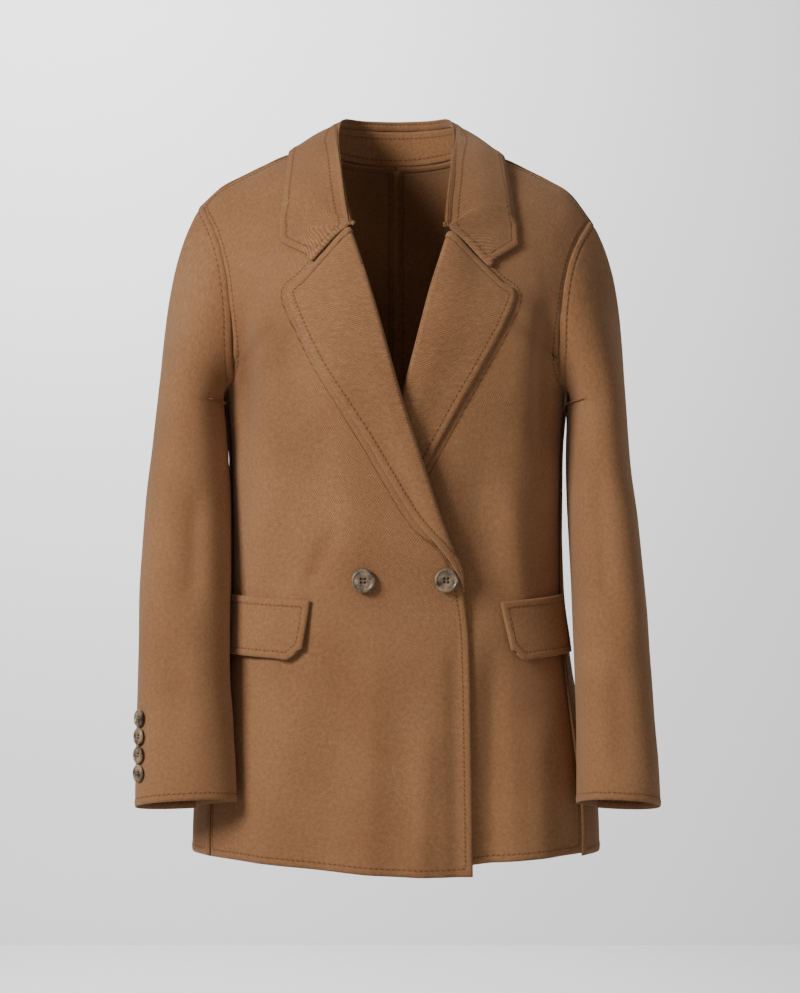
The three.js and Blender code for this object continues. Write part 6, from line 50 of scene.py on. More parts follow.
    "sleeve_right": dict(flip=True, closed=True, fine=(10, 4), keep=["1111111111111111111111111111", "1111111111111111111111111111", "1111111111111111111111111111", "1111111111111111111111111111", "1111111111111111111111111111", "1111111111111111111111111111", "1111111111111111111111111111", "1111111111111111111111111111", "1111111111111111111111111111", "1111111111111111111111111111", "1111111111111111111111111111", "1111111111111111111111111111", "1111111111111111111111111111", "1111111111111111111111111111", "1111111111111111111111111111", "1111111111111111111111111111"], rows=[[[-199.1,-1.1,-57.7],[-191,-22,-72],[-183.5,-36.6,-87.6],[-177.3,-48.2,-104.2],[-172.8,-57.6,-121.4],[-169.5,-64.9,-138.8],[-167.1,-69.8,-156.2],[-165.3,-72.7,-173.5],[-164.8,-73.5,-191.1],[-164.5,-71,-206.9],[-164,-65.1,-221.7],[-164.4,-56.1,-235.4],[-168.9,-42.2,-243.7],[-172.5,-25.3,-247.9],[-173.5,-7.8,-251.8],[-173.9,9.1,-249.3],[-172.4,25.1,-247],[-168.7,40.2,-243],[-166.9,51.1,-231.1],[-168.5,58.3,-215.5],[-169.9,64.4,-199.3],[-171.6,67.4,-181.7],[-173.7,67.6,-163.8],[-176,65.5,-145],[-179,61.1,-127],[-182.8,54.1,-109.1],[-187.2,44.4,-91.4],[-192.8,29.9,-74.1]],[[-207.1,-1,-71.6],[-198.9,-22.6,-84.9],[-191.3,-37.8,-99],[-185,-49.8,-113.9],[-180.4,-59.5,-129.2],[-176.8,-66.8,-144.7],[-173.8,-71.5,-160.3],[-171.1,-74.1,-176.1],[-169.3,-74.5,-193.2],[-167.9,-71.7,-208.5],[-166.4,-65.5,-222.8],[-166,-56.2,-236.2],[-169.8,-42.2,-244.2],[-174.3,-25.4,-248.3],[-176.7,-7.8,-252.1],[-176,9.2,-249.6],[-173.7,25.2,-247.4],[-169.8,40.4,-243.6],[-168.9,51.4,-232],[-171.4,58.9,-216.8],[-173.7,65.3,-201.1],[-176.7,68.6,-184.1],[-179.7,69.1,-167.6],[-182.8,67.2,-150.5],[-186.2,62.8,-134.5],[-190.1,55.6,-118.5],[-194.7,45.5,-102.6],[-200.5,30.4,-86.9]],[[-216.8,-0.7,-94.4],[-209.1,-22.8,-106],[-201.8,-38.7,-118.2],[-195.8,-51.3,-130.8],[-191,-61.4,-143.6],[-187,-68.8,-156.6],[-183.1,-73.4,-169.8],[-179.1,-75.6,-183.4],[-175.5,-75.5,-199.1],[-172.6,-72.3,-213.2],[-169.9,-65.8,-226.3],[-168.4,-56.2,-238.5],[-171,-42.2,-245.8],[-175.1,-25.5,-249.5],[-176.6,-7.8,-253],[-176.5,9.3,-250.7],[-174.6,25.3,-248.7],[-171.4,40.3,-245.2],[-171.6,51.5,-234.7],[-175.3,59.4,-220.8],[-179.1,65.9,-206.4],[-183.6,69.5,-190.8],[-188,70.2,-176.5],[-192,68.5,-161.9],[-195.9,63.9,-148.4],[-200.2,56.4,-134.9],[-204.8,45.8,-121.4],[-210.5,30.3,-107.9]],[[-225.8,-0.3,-125.3],[-219.3,-22.3,-134.6],[-213,-38.7,-144.6],[-207.5,-51.9,-154.8],[-202.7,-62.4,-165],[-198.1,-70,-175.3],[-193.2,-74.6,-185.9],[-187.7,-76.6,-196.9],[-182.3,-76.1,-210.1],[-177.9,-72.5,-221.8],[-173.8,-65.6,-232.8],[-171,-55.8,-242.8],[-172.2,-42,-248.9],[-175.5,-25.6,-251.9],[-176.3,-7.8,-254.7],[-176.5,9.6,-252.9],[-174.9,25.3,-251.2],[-173.1,40,-248.3],[-174.9,51.3,-239.7],[-179.7,59.3,-228.2],[-184.8,65.9,-216.3],[-191,69.4,-203.2],[-196.8,70.2,-191.6],[-201.9,68.2,-180],[-206.5,63.3,-169.2],[-210.9,55.3,-158.4],[-215.3,44.3,-147.3],[-220.5,28.6,-136.2]],[[-232.7,-0.2,-162.1],[-228.1,-21.6,-168.7],[-223.3,-38.1,-176.4],[-218.6,-51.7,-184.1],[-213.8,-62.5,-191.9],[-208.6,-70.4,-199.6],[-202.7,-75.2,-207.4],[-195.7,-77,-215.5],[-188.6,-76.2,-225.2],[-182.7,-72.2,-233.8],[-177.5,-65,-241.6],[-173.5,-55,-248.7],[-172.5,-41.6,-253],[-175,-25.7,-255.1],[-176,-7.8,-257],[-176.1,9.8,-255.7],[-174.5,25.3,-254.6],[-174.7,39.4,-252.6],[-178,50.5,-246.5],[-183.7,58.7,-238.4],[-190,65,-229.8],[-197.6,68.2,-220.3],[-204.9,68.6,-211.8],[-210.9,66.1,-203.3],[-216.1,60.6,-195.3],[-220.7,52.1,-187.1],[-224.8,40.6,-178.7],[-228.9,25.2,-170]],[[-237.3,-1.4,-201.3],[-234.8,-21.5,-205.2],[-231.5,-37.8,-210.3],[-227.4,-51.4,-215.5],[-222.6,-62.3,-220.7],[-216.8,-70.4,-225.8],[-210,-75.3,-230.8],[-201.8,-77.2,-235.9],[-193.3,-76,-241.7],[-186.4,-71.7,-246.6],[-180.3,-64.4,-251.1],[-175.5,-54.2,-255],[-172.8,-41.2,-257.3],[-174.5,-25.9,-258.4],[-175.7,-7.9,-259.4],[-175.7,10.1,-258.8],[-174,25.3,-258.2],[-176,38.7,-257.1],[-180.5,49.5,-253.8],[-186.8,57.7,-249.3],[-194,63.4,-244.4],[-202.6,66.1,-238.9],[-211,65.8,-233.7],[-217.9,62.6,-228.3],[-223.7,56.3,-223.1],[-228.5,47.1,-217.7],[-232.2,35.2,-212],[-235.2,20.2,-206.1]],[[-240.1,-4,-234.9],[-239,-23,-236.5],[-236.5,-38.7,-239.1],[-232.7,-52,-241.8],[-227.6,-62.7,-244.4],[-221.4,-70.7,-247],[-214,-75.6,-249.4],[-205,-77.4,-251.8],[-195.8,-76,-254.3],[-188.3,-71.5,-256.3],[-181.8,-64,-258],[-176.5,-53.8,-259.5],[-172.8,-41,-260.4],[-174.2,-26,-260.8],[-175.5,-7.9,-261.1],[-175.4,10.2,-260.9],[-173.7,25.2,-260.7],[-176.6,38.1,-260.3],[-181.8,48.7,-259.1],[-188.4,56.6,-257.4],[-196,61.7,-255.5],[-205.2,63.9,-253.2],[-214.3,62.9,-250.8],[-221.7,58.9,-248.3],[-228,51.8,-245.7],[-233,42.1,-242.9],[-236.7,29.8,-240],[-239.1,15,-237]],[[-242.5,-8,-262],[-241.7,-26.1,-262],[-239.2,-41,-262],[-235.2,-53.8,-262],[-229.9,-64.1,-262],[-223.2,-71.7,-262],[-215.4,-76.4,-262],[-206,-78,-262],[-196.6,-76.4,-262],[-188.8,-71.7,-262],[-182.1,-64.1,-262],[-176.8,-53.8,-262],[-172.8,-41,-262],[-174,-26.1,-262],[-175.4,-8,-262],[-175.2,10.1,-262],[-173.6,25,-262],[-176.8,37.8,-262],[-182.1,48.1,-262],[-188.8,55.7,-262],[-196.6,60.4,-262],[-206,62,-262],[-215.4,60.4,-262],[-223.2,55.7,-262],[-229.9,48.1,-262],[-235.2,37.8,-262],[-239.2,25,-262],[-241.7,10.1,-262]],[[-246.7,-16.2,-305],[-245.8,-33.4,-305],[-243.1,-47.6,-305],[-238.8,-59.8,-305],[-232.9,-69.6,-305],[-225.6,-76.9,-305],[-217.1,-81.4,-305],[-206.8,-82.9,-305],[-196.5,-81.4,-305],[-188,-76.9,-305],[-180.8,-69.6,-305],[-174.9,-59.8,-305],[-170.5,-47.6,-305],[-169.5,-33.4,-305],[-171.8,-16.2,-305],[-172.3,1.1,-305],[-171.7,15.3,-305],[-174.9,27.5,-305],[-180.8,37.3,-305],[-188,44.6,-305],[-196.5,49.1,-305],[-206.8,50.6,-305],[-217.1,49.1,-305],[-225.6,44.6,-305],[-232.9,37.3,-305],[-238.8,27.5,-305],[-243.1,15.3,-305],[-245.8,1.1,-305]],[[-250.3,-26.4,-350],[-249.3,-42.5,-350],[-246.5,-55.8,-350],[-241.8,-67.2,-350],[-235.6,-76.4,-350],[-227.8,-83.2,-350],[-218.7,-87.4,-350],[-207.7,-88.8,-350],[-196.7,-87.4,-350],[-187.6,-83.2,-350],[-179.9,-76.4,-350],[-173.6,-67.2,-350],[-168.9,-55.8,-350],[-166.1,-42.5,-350],[-169.8,-26.4,-350],[-171.3,-10.2,-350],[-171.4,3.1,-350],[-173.6,14.4,-350],[-179.9,23.6,-350],[-187.6,30.5,-350],[-196.7,34.6,-350],[-207.7,36.1,-350],[-218.7,34.6,-350],[-227.8,30.5,-350],[-235.6,23.6,-350],[-241.8,14.4,-350],[-246.5,3.1,-350],[-249.3,-10.2,-350]],[[-253,-37.1,-395],[-252,-52.3,-395],[-249,-64.7,-395],[-244.2,-75.4,-395],[-237.6,-84,-395],[-229.6,-90.4,-395],[-220.1,-94.4,-395],[-208.6,-95.7,-395],[-197.1,-94.4,-395],[-187.6,-90.4,-395],[-179.6,-84,-395],[-173,-75.4,-395],[-168.2,-64.7,-395],[-165.2,-52.3,-395],[-167.7,-37.1,-395],[-170.6,-22,-395],[-171.6,-9.5,-395],[-173,1.2,-395],[-179.6,9.8,-395],[-187.6,16.2,-395],[-197.1,20.1,-395],[-208.6,21.4,-395],[-220.1,20.1,-395],[-229.6,16.2,-395],[-237.6,9.8,-395],[-244.2,1.2,-395],[-249,-9.5,-395],[-252,-22,-395]],[[-255.2,-48.6,-440],[-254.2,-62.8,-440],[-251.1,-74.5,-440],[-246.2,-84.5,-440],[-239.4,-92.6,-440],[-231.1,-98.6,-440],[-221.4,-102.3,-440],[-209.6,-103.5,-440],[-197.8,-102.3,-440],[-188.1,-98.6,-440],[-179.8,-92.6,-440],[-173.1,-84.5,-440],[-168.1,-74.5,-440],[-165.1,-62.8,-440],[-165.7,-48.6,-440],[-170.3,-34.4,-440],[-172.5,-22.7,-440],[-173.3,-12.7,-440],[-179.8,-4.6,-440],[-188.1,1.4,-440],[-197.8,5.1,-440],[-209.6,6.4,-440],[-221.4,5.1,-440],[-231.1,1.4,-440],[-239.4,-4.6,-440],[-246.2,-12.7,-440],[-251.1,-22.7,-440],[-254.2,-34.4,-440]],[[-256.1,-59.6,-485],[-255.1,-73,-485],[-252,-84,-485],[-247,-93.4,-485],[-240.1,-101.1,-485],[-231.8,-106.7,-485],[-221.9,-110.2,-485],[-210,-111.4,-485],[-198.1,-110.2,-485],[-188.2,-106.7,-485],[-179.9,-101.1,-485],[-173,-93.4,-485],[-168,-84,-485],[-164.9,-73,-485],[-169.2,-59.6,-485],[-175.2,-46.2,-485],[-178.4,-35.2,-485],[-180.1,-25.8,-485],[-181,-18.2,-485],[-188.2,-12.5,-485],[-198.1,-9.1,-485],[-210,-7.9,-485],[-221.9,-9.1,-485],[-231.8,-12.5,-485],[-240.1,-18.2,-485],[-247,-25.8,-485],[-252,-35.2,-485],[-255.1,-46.2,-485]],[[-256.5,-68.9,-530],[-255.4,-81.6,-530],[-252.3,-92.1,-530],[-247.2,-101,-530],[-240.3,-108.3,-530],[-231.8,-113.6,-530],[-221.9,-116.9,-530],[-209.9,-118,-530],[-197.8,-116.9,-530],[-187.9,-113.6,-530],[-179.4,-108.3,-530],[-172.5,-101,-530],[-167.4,-92.1,-530],[-164.3,-81.6,-530],[-167.6,-68.9,-530],[-175.3,-56.2,-530],[-179.7,-45.8,-530],[-182.4,-36.9,-530],[-183.9,-29.6,-530],[-187.9,-24.3,-530],[-197.8,-21,-530],[-209.9,-19.9,-530],[-221.9,-21,-530],[-231.8,-24.3,-530],[-240.3,-29.6,-530],[-247.2,-36.9,-530],[-252.3,-45.8,-530],[-255.4,-56.2,-530]],[[-257,-76.7,-573.8],[-256,-88.7,-573.8],[-252.7,-98.6,-573.8],[-247.4,-107,-573.8],[-240.3,-113.9,-573.8],[-231.5,-118.9,-573.8],[-221.2,-122,-573.8],[-208.7,-123.1,-573.8],[-196.2,-122,-573.8],[-185.9,-118.9,-573.8],[-177.1,-113.9,-573.8],[-169.9,-107,-573.8],[-164.7,-98.6,-573.8],[-161.4,-88.7,-573.8],[-162.2,-76.7,-573.8],[-172.3,-64.8,-573.8],[-178.4,-54.9,-573.8],[-182.2,-46.5,-573.8],[-184.6,-39.6,-573.8],[-186,-34.6,-573.8],[-196.2,-31.5,-573.8],[-208.7,-30.4,-573.8],[-221.2,-31.5,-573.8],[-231.5,-34.6,-573.8],[-240.3,-39.6,-573.8],[-247.4,-46.5,-573.8],[-252.7,-54.9,-573.8],[-256,-64.8,-573.8]],[[-257.6,-83,-615.8],[-256.4,-94.3,-615.1],[-253.1,-103.5,-614.4],[-247.6,-111.5,-613.8],[-240.2,-117.9,-613.3],[-231,-122.6,-612.9],[-220.3,-125.5,-612.5],[-207.3,-126.5,-612.2],[-194.3,-125.5,-612.1],[-183.6,-122.6,-612.1],[-174.5,-117.9,-612.3],[-167.1,-111.5,-612.6],[-161.6,-103.5,-613],[-158.2,-94.3,-613.5],[-164.8,-83,-614.2],[-176.5,-71.8,-614.9],[-183.6,-62.5,-615.6],[-188.4,-54.6,-616.2],[-191.4,-48.1,-616.7],[-193.3,-43.4,-617.1],[-194.3,-40.5,-617.5],[-207.3,-39.5,-617.8],[-220.3,-40.5,-617.9],[-231,-43.4,-617.9],[-240.2,-48.1,-617.7],[-247.6,-54.6,-617.4],[-253.1,-62.5,-617],[-256.4,-71.8,-616.5]],[[-257.8,-88,-660.6],[-256.6,-98.6,-658.4],[-253.2,-107.3,-656.5],[-247.6,-114.8,-654.7],[-240,-120.9,-653.1],[-230.7,-125.3,-651.7],[-219.8,-128.1,-650.6],[-206.5,-129,-649.8],[-193.2,-128.1,-649.3],[-182.3,-125.3,-649.3],[-173,-120.9,-649.8],[-165.4,-114.8,-650.6],[-159.8,-107.3,-651.8],[-156.4,-98.6,-653.4],[-165.7,-88,-655.4],[-178.7,-77.4,-657.6],[-186.9,-68.7,-659.5],[-192.4,-61.2,-661.3],[-196,-55.1,-662.9],[-198.3,-50.7,-664.3],[-199.6,-47.9,-665.4],[-206.5,-47,-666.2],[-219.8,-47.9,-666.7],[-230.7,-50.7,-666.7],[-240,-55.1,-666.2],[-247.6,-61.2,-665.4],[-253.2,-68.7,-664.2],[-256.6,-77.4,-662.6]]]),
    "sleeve_left": dict(flip=False, closed=True, fine=(10, 4), keep=["1111111111111111111111111111", "1111111111111111111111111111", "1111111111111111111111111111", "1111111111111111111111111111", "1111111111111111111111111111", "1111111111111111111111111111", "1111111111111111111111111111", "1111111111111111111111111111", "1111111111111111111111111111", "1111111111111111111111111111", "1111111111111111111111111111", "1111111111111111111111111111", "1111111111111111111111111111", "1111111111111111111111111111", "1111111111111111111111111111", "1111111111111111111111111111"], rows=[[[199.1,-1.1,-73.3],[190.5,-23.6,-85.6],[182.4,-38.4,-99.7],[176,-50.5,-115.2],[171.5,-59.5,-131.3],[168.3,-65.9,-147.8],[166.2,-69.9,-164.2],[164.8,-72.2,-180.3],[164.7,-72.1,-196.6],[164.3,-69.1,-211.2],[163.8,-63.3,-225],[165,-54,-237.4],[169.4,-40.3,-244.3],[172.7,-24.3,-248.1],[173.5,-7.8,-251.8],[173.9,8.3,-249.4],[172.7,23.2,-247.2],[169.4,37.7,-244.1],[166.8,49.2,-234.7],[168.2,56.2,-220],[169.3,62.6,-205.2],[170.9,66.6,-189.1],[172.7,67.3,-172.3],[174.9,65.8,-154.5],[177.9,61.8,-137.6],[181.7,55,-120.8],[186.3,45.4,-104.2],[192.2,31.3,-88.2]],[[206.4,-1,-86.1],[197.5,-24.1,-97.4],[189.5,-39.5,-110.2],[183.1,-52,-124.1],[178.5,-61.2,-138.5],[175,-67.7,-153.2],[172.3,-71.6,-168],[170.2,-73.5,-182.8],[168.9,-73.2,-198.6],[167.5,-69.8,-212.7],[166.1,-63.7,-226.1],[166.5,-54.3,-238.1],[170.4,-40.5,-244.8],[174.5,-24.4,-248.5],[176.7,-7.8,-252.1],[176.1,8.4,-249.8],[174.2,23.4,-247.7],[170.6,37.9,-244.6],[168.6,49.5,-235.5],[170.8,56.8,-221.3],[172.9,63.4,-206.8],[175.5,67.6,-191.2],[178.2,68.7,-175.7],[181,67.3,-159.6],[184.4,63.3,-144.4],[188.3,56.3,-129.4],[193.1,46.3,-114.4],[199.2,31.7,-99.9]],[[215,-0.8,-107.1],[206.6,-24.2,-117],[199,-40.2,-128],[192.8,-53.3,-139.8],[188.2,-62.9,-152],[184.3,-69.5,-164.3],[180.9,-73.4,-176.8],[177.5,-75.1,-189.5],[174.7,-74.4,-204.1],[172.1,-70.7,-217],[169.6,-64.2,-229.3],[168.9,-54.5,-240.3],[171.8,-40.7,-246.4],[175.2,-24.6,-249.7],[176.6,-7.8,-253],[176.5,8.6,-250.9],[175,23.7,-249],[172.2,38.2,-246.2],[171.3,49.9,-237.9],[174.5,57.5,-224.9],[177.8,64.3,-211.7],[181.8,68.6,-197.3],[185.6,69.8,-183.8],[189.4,68.5,-170.1],[193.2,64.2,-157.3],[197.4,56.8,-144.5],[202.1,46.3,-131.8],[208.1,31.3,-119.2]],[[222.7,-0.5,-135.6],[215.6,-23.7,-143.9],[209.1,-40.1,-152.9],[203.5,-53.7,-162.4],[198.9,-63.8,-172.1],[194.6,-70.9,-181.8],[190.3,-74.9,-191.8],[185.6,-76.5,-202],[181.1,-75.5,-214.2],[177.2,-71.5,-225],[173.6,-64.7,-235.2],[171.7,-54.7,-244.2],[173,-40.9,-249.3],[175.5,-25,-252],[176.3,-7.8,-254.7],[176.5,9.1,-253],[175.2,24.3,-251.4],[174.1,38.5,-249.1],[174.6,50.2,-242.3],[178.8,58.1,-231.6],[183.3,64.8,-220.6],[188.6,69,-208.7],[193.7,70,-197.8],[198.3,68.3,-186.8],[202.7,63.5,-176.6],[206.9,55.6,-166.4],[211.5,44.5,-156.1],[216.7,29.3,-145.8]],[[227.9,-0.6,-169.7],[223.1,-22.8,-176],[218.1,-39.4,-182.9],[213.4,-53.3,-190.1],[208.9,-63.9,-197.3],[204.2,-71.5,-204.5],[199,-76,-211.8],[193.1,-77.6,-219.3],[187.1,-76.5,-228.2],[182,-72.1,-236.1],[177.5,-65,-243.3],[174.5,-54.8,-249.7],[174.1,-41.2,-253.2],[175,-25.5,-255.1],[176,-7.8,-257],[176.1,9.7,-255.8],[175.3,25,-254.7],[175.9,38.9,-253.1],[178.1,50.4,-248.3],[182.9,58.5,-240.8],[188.4,64.8,-232.9],[194.9,68.4,-224.3],[201.1,68.8,-216.4],[206.5,66.4,-208.4],[211.3,60.9,-200.9],[215.6,52.3,-193.3],[219.6,40.6,-185.4],[223.8,25.4,-177.5]],[[230.9,-1.8,-206.1],[228.3,-22.6,-210.2],[225,-39,-214.8],[221.2,-52.9,-219.5],[216.8,-63.8,-224.2],[211.7,-71.8,-228.9],[205.9,-76.7,-233.5],[198.9,-78.5,-238.1],[191.8,-77.2,-243.4],[185.9,-72.7,-247.9],[180.7,-65.2,-252],[176.9,-54.8,-255.5],[174.8,-41.5,-257.4],[174.5,-26,-258.5],[175.7,-7.9,-259.4],[175.7,10.3,-258.8],[175.4,25.6,-258.2],[177.5,39.1,-257.3],[180.9,50.3,-254.7],[186.2,58.4,-250.6],[192.3,64.2,-246.2],[199.6,67,-241.2],[206.8,66.7,-236.5],[212.8,63.3,-231.5],[217.9,56.9,-226.7],[222.2,47.4,-221.7],[225.8,35.3,-216.5],[228.7,20.1,-211.3]],[[232.4,-4.3,-237],[231.3,-23.9,-239.1],[229,-39.8,-241.4],[225.6,-53.3,-243.7],[221.2,-64.3,-246.1],[215.9,-72.4,-248.4],[209.6,-77.4,-250.6],[202,-79.2,-252.8],[194.3,-77.8,-255],[188,-73.1,-256.8],[182.5,-65.4,-258.4],[178.2,-54.9,-259.7],[175.1,-41.8,-260.4],[174.1,-26.4,-260.8],[175.5,-7.9,-261.1],[175.4,10.6,-260.9],[175.3,26,-260.7],[178.3,39.2,-260.4],[182.6,50,-259.4],[188.1,58.1,-257.9],[194.4,63.3,-256.2],[202.2,65.4,-254.1],[209.8,64.4,-252],[216.1,60.2,-249.7],[221.5,52.9,-247.4],[225.9,42.8,-244.9],[229.2,30.1,-242.3],[231.4,15,-239.6]],[[233.5,-8,-262],[232.8,-26.6,-262],[230.8,-42,-262],[227.4,-55.1,-262],[222.9,-65.7,-262],[217.4,-73.5,-262],[210.9,-78.4,-262],[203,-80,-262],[195.1,-78.4,-262],[188.6,-73.5,-262],[183.1,-65.7,-262],[178.6,-55.1,-262],[175.2,-42,-262],[174,-26.6,-262],[175.4,-8,-262],[175.2,10.6,-262],[175.2,26,-262],[178.6,39.1,-262],[183.1,49.7,-262],[188.6,57.5,-262],[195.1,62.4,-262],[203,64,-262],[210.9,62.4,-262],[217.4,57.5,-262],[222.9,49.7,-262],[227.4,39.1,-262],[230.8,26,-262],[232.8,10.6,-262]],[[235.9,-16.2,-305],[235.2,-34.1,-305],[233.1,-49,-305],[229.6,-61.6,-305],[224.9,-71.9,-305],[219.2,-79.5,-305],[212.4,-84.2,-305],[204.2,-85.7,-305],[196,-84.2,-305],[189.3,-79.5,-305],[183.5,-71.9,-305],[178.8,-61.6,-305],[175.3,-49,-305],[173.2,-34.1,-305],[172.5,-16.2,-305],[173.2,1.8,-305],[175.3,16.7,-305],[178.8,29.3,-305],[183.5,39.6,-305],[189.3,47.2,-305],[196,51.9,-305],[204.2,53.4,-305],[212.4,51.9,-305],[219.2,47.2,-305],[224.9,39.6,-305],[229.6,29.3,-305],[233.1,16.7,-305],[235.2,1.8,-305]],[[239.3,-26.4,-350],[238.5,-43.5,-350],[236.3,-57.6,-350],[232.6,-69.7,-350],[227.7,-79.4,-350],[221.6,-86.7,-350],[214.5,-91.1,-350],[205.8,-92.6,-350],[197.2,-91.1,-350],[190,-86.7,-350],[183.9,-79.4,-350],[179,-69.7,-350],[175.3,-57.6,-350],[173.1,-43.5,-350],[172.3,-26.4,-350],[173.1,-9.3,-350],[175.3,4.9,-350],[179,16.9,-350],[183.9,26.7,-350],[190,33.9,-350],[197.2,38.3,-350],[205.8,39.8,-350],[214.5,38.3,-350],[221.6,33.9,-350],[227.7,26.7,-350],[232.6,16.9,-350],[236.3,4.9,-350],[238.5,-9.3,-350]],[[243.3,-37.1,-395],[242.5,-53.3,-395],[240.2,-66.6,-395],[236.4,-78,-395],[231.3,-87.2,-395],[225,-94,-395],[217.6,-98.2,-395],[208.6,-99.6,-395],[199.6,-98.2,-395],[192.2,-94,-395],[185.9,-87.2,-395],[180.7,-78,-395],[177,-66.6,-395],[174.6,-53.3,-395],[173.8,-37.1,-395],[174.6,-21,-395],[177,-7.6,-395],[180.7,3.7,-395],[185.9,13,-395],[192.2,19.8,-395],[199.6,24,-395],[208.6,25.4,-395],[217.6,24,-395],[225,19.8,-395],[231.3,13,-395],[236.4,3.7,-395],[240.2,-7.6,-395],[242.5,-21,-395]],[[247.2,-48.6,-440],[246.4,-63.9,-440],[244,-76.6,-440],[240.1,-87.4,-440],[234.8,-96.2,-440],[228.2,-102.7,-440],[220.6,-106.7,-440],[211.3,-108,-440],[202.1,-106.7,-440],[194.4,-102.7,-440],[187.9,-96.2,-440],[182.6,-87.4,-440],[178.7,-76.6,-440],[176.3,-63.9,-440],[175.5,-48.6,-440],[176.3,-33.2,-440],[178.7,-20.5,-440],[182.6,-9.7,-440],[187.9,-0.9,-440],[194.4,5.6,-440],[202.1,9.5,-440],[211.3,10.9,-440],[220.6,9.5,-440],[228.2,5.6,-440],[234.8,-0.9,-440],[240.1,-9.7,-440],[244,-20.5,-440],[246.4,-33.2,-440]],[[250.8,-59.6,-485],[250,-74.3,-485],[247.5,-86.4,-485],[243.4,-96.8,-485],[238,-105.1,-485],[231.2,-111.3,-485],[223.3,-115.1,-485],[213.7,-116.4,-485],[204.1,-115.1,-485],[196.2,-111.3,-485],[189.5,-105.1,-485],[184,-96.8,-485],[179.9,-86.4,-485],[177.4,-74.3,-485],[176.6,-59.6,-485],[177.4,-44.9,-485],[179.9,-32.8,-485],[184,-22.5,-485],[189.5,-14.1,-485],[196.2,-7.9,-485],[204.1,-4.1,-485],[213.7,-2.8,-485],[223.3,-4.1,-485],[231.2,-7.9,-485],[238,-14.1,-485],[243.4,-22.5,-485],[247.5,-32.8,-485],[250,-44.9,-485]],[[254,-68.9,-530],[253.2,-82.9,-530],[250.6,-94.4,-530],[246.5,-104.3,-530],[240.8,-112.3,-530],[233.9,-118.1,-530],[225.8,-121.8,-530],[215.9,-123,-530],[206.1,-121.8,-530],[198,-118.1,-530],[191,-112.3,-530],[185.4,-104.3,-530],[181.2,-94.4,-530],[178.7,-82.9,-530],[177.8,-68.9,-530],[178.7,-55,-530],[181.2,-43.4,-530],[185.4,-33.6,-530],[191,-25.6,-530],[198,-19.7,-530],[206.1,-16.1,-530],[215.9,-14.9,-530],[225.8,-16.1,-530],[233.9,-19.7,-530],[240.8,-25.6,-530],[246.5,-33.6,-530],[250.6,-43.4,-530],[253.2,-55,-530]],[[256.5,-76.7,-573.8],[255.6,-90.1,-573.8],[253,-101,-573.8],[248.8,-110.4,-573.8],[243,-118,-573.8],[236,-123.6,-573.8],[227.7,-127.1,-573.8],[217.7,-128.2,-573.8],[207.7,-127.1,-573.8],[199.4,-123.6,-573.8],[192.3,-118,-573.8],[186.6,-110.4,-573.8],[182.4,-101,-573.8],[179.8,-90.1,-573.8],[178.9,-76.7,-573.8],[179.8,-63.4,-573.8],[182.4,-52.5,-573.8],[186.6,-43.1,-573.8],[192.3,-35.5,-573.8],[199.4,-29.9,-573.8],[207.7,-26.4,-573.8],[217.7,-25.3,-573.8],[227.7,-26.4,-573.8],[236,-29.9,-573.8],[243,-35.5,-573.8],[248.8,-43.1,-573.8],[253,-52.5,-573.8],[255.6,-63.4,-573.8]],[[259.7,-83,-615.6],[258.8,-95.9,-614.8],[256.1,-106.4,-614.1],[251.7,-115.5,-613.5],[245.7,-122.8,-612.9],[238.4,-128.2,-612.4],[229.8,-131.6,-612.1],[219.3,-132.7,-611.8],[208.9,-131.6,-611.8],[200.3,-128.2,-611.8],[193,-122.8,-612.1],[187,-115.5,-612.4],[182.6,-106.4,-612.9],[179.9,-95.9,-613.6],[179,-83,-614.4],[179.9,-70.2,-615.2],[185.5,-59.6,-615.9],[190.4,-50.5,-616.5],[193.4,-43.2,-617.1],[200.3,-37.8,-617.6],[208.9,-34.5,-617.9],[219.3,-33.3,-618.2],[229.8,-34.5,-618.2],[238.4,-37.8,-618.2],[245.7,-43.2,-617.9],[251.7,-50.5,-617.6],[256.1,-59.6,-617.1],[258.8,-70.2,-616.4]],[[261.6,-88,-660.1],[260.7,-100.4,-657.6],[257.9,-110.6,-655.4],[253.3,-119.4,-653.4],[247.2,-126.5,-651.7],[239.6,-131.7,-650.2],[230.7,-134.9,-649.2],[219.9,-136,-648.4],[209.1,-134.9,-648.1],[200.2,-131.7,-648.3],[192.6,-126.5,-648.9],[186.5,-119.4,-650.1],[181.9,-110.6,-651.6],[179.1,-100.4,-653.5],[178.2,-88,-655.9],[180.6,-75.6,-658.4],[189.5,-65.4,-660.6],[195.2,-56.6,-662.6],[198.9,-49.5,-664.3],[201.1,-44.3,-665.8],[209.1,-41.1,-666.8],[219.9,-40,-667.6],[230.7,-41.1,-667.9],[239.6,-44.3,-667.7],[247.2,-49.5,-667.1],[253.3,-56.6,-665.9],[257.9,-65.4,-664.4],[260.7,-75.6,-662.5]]]),
}
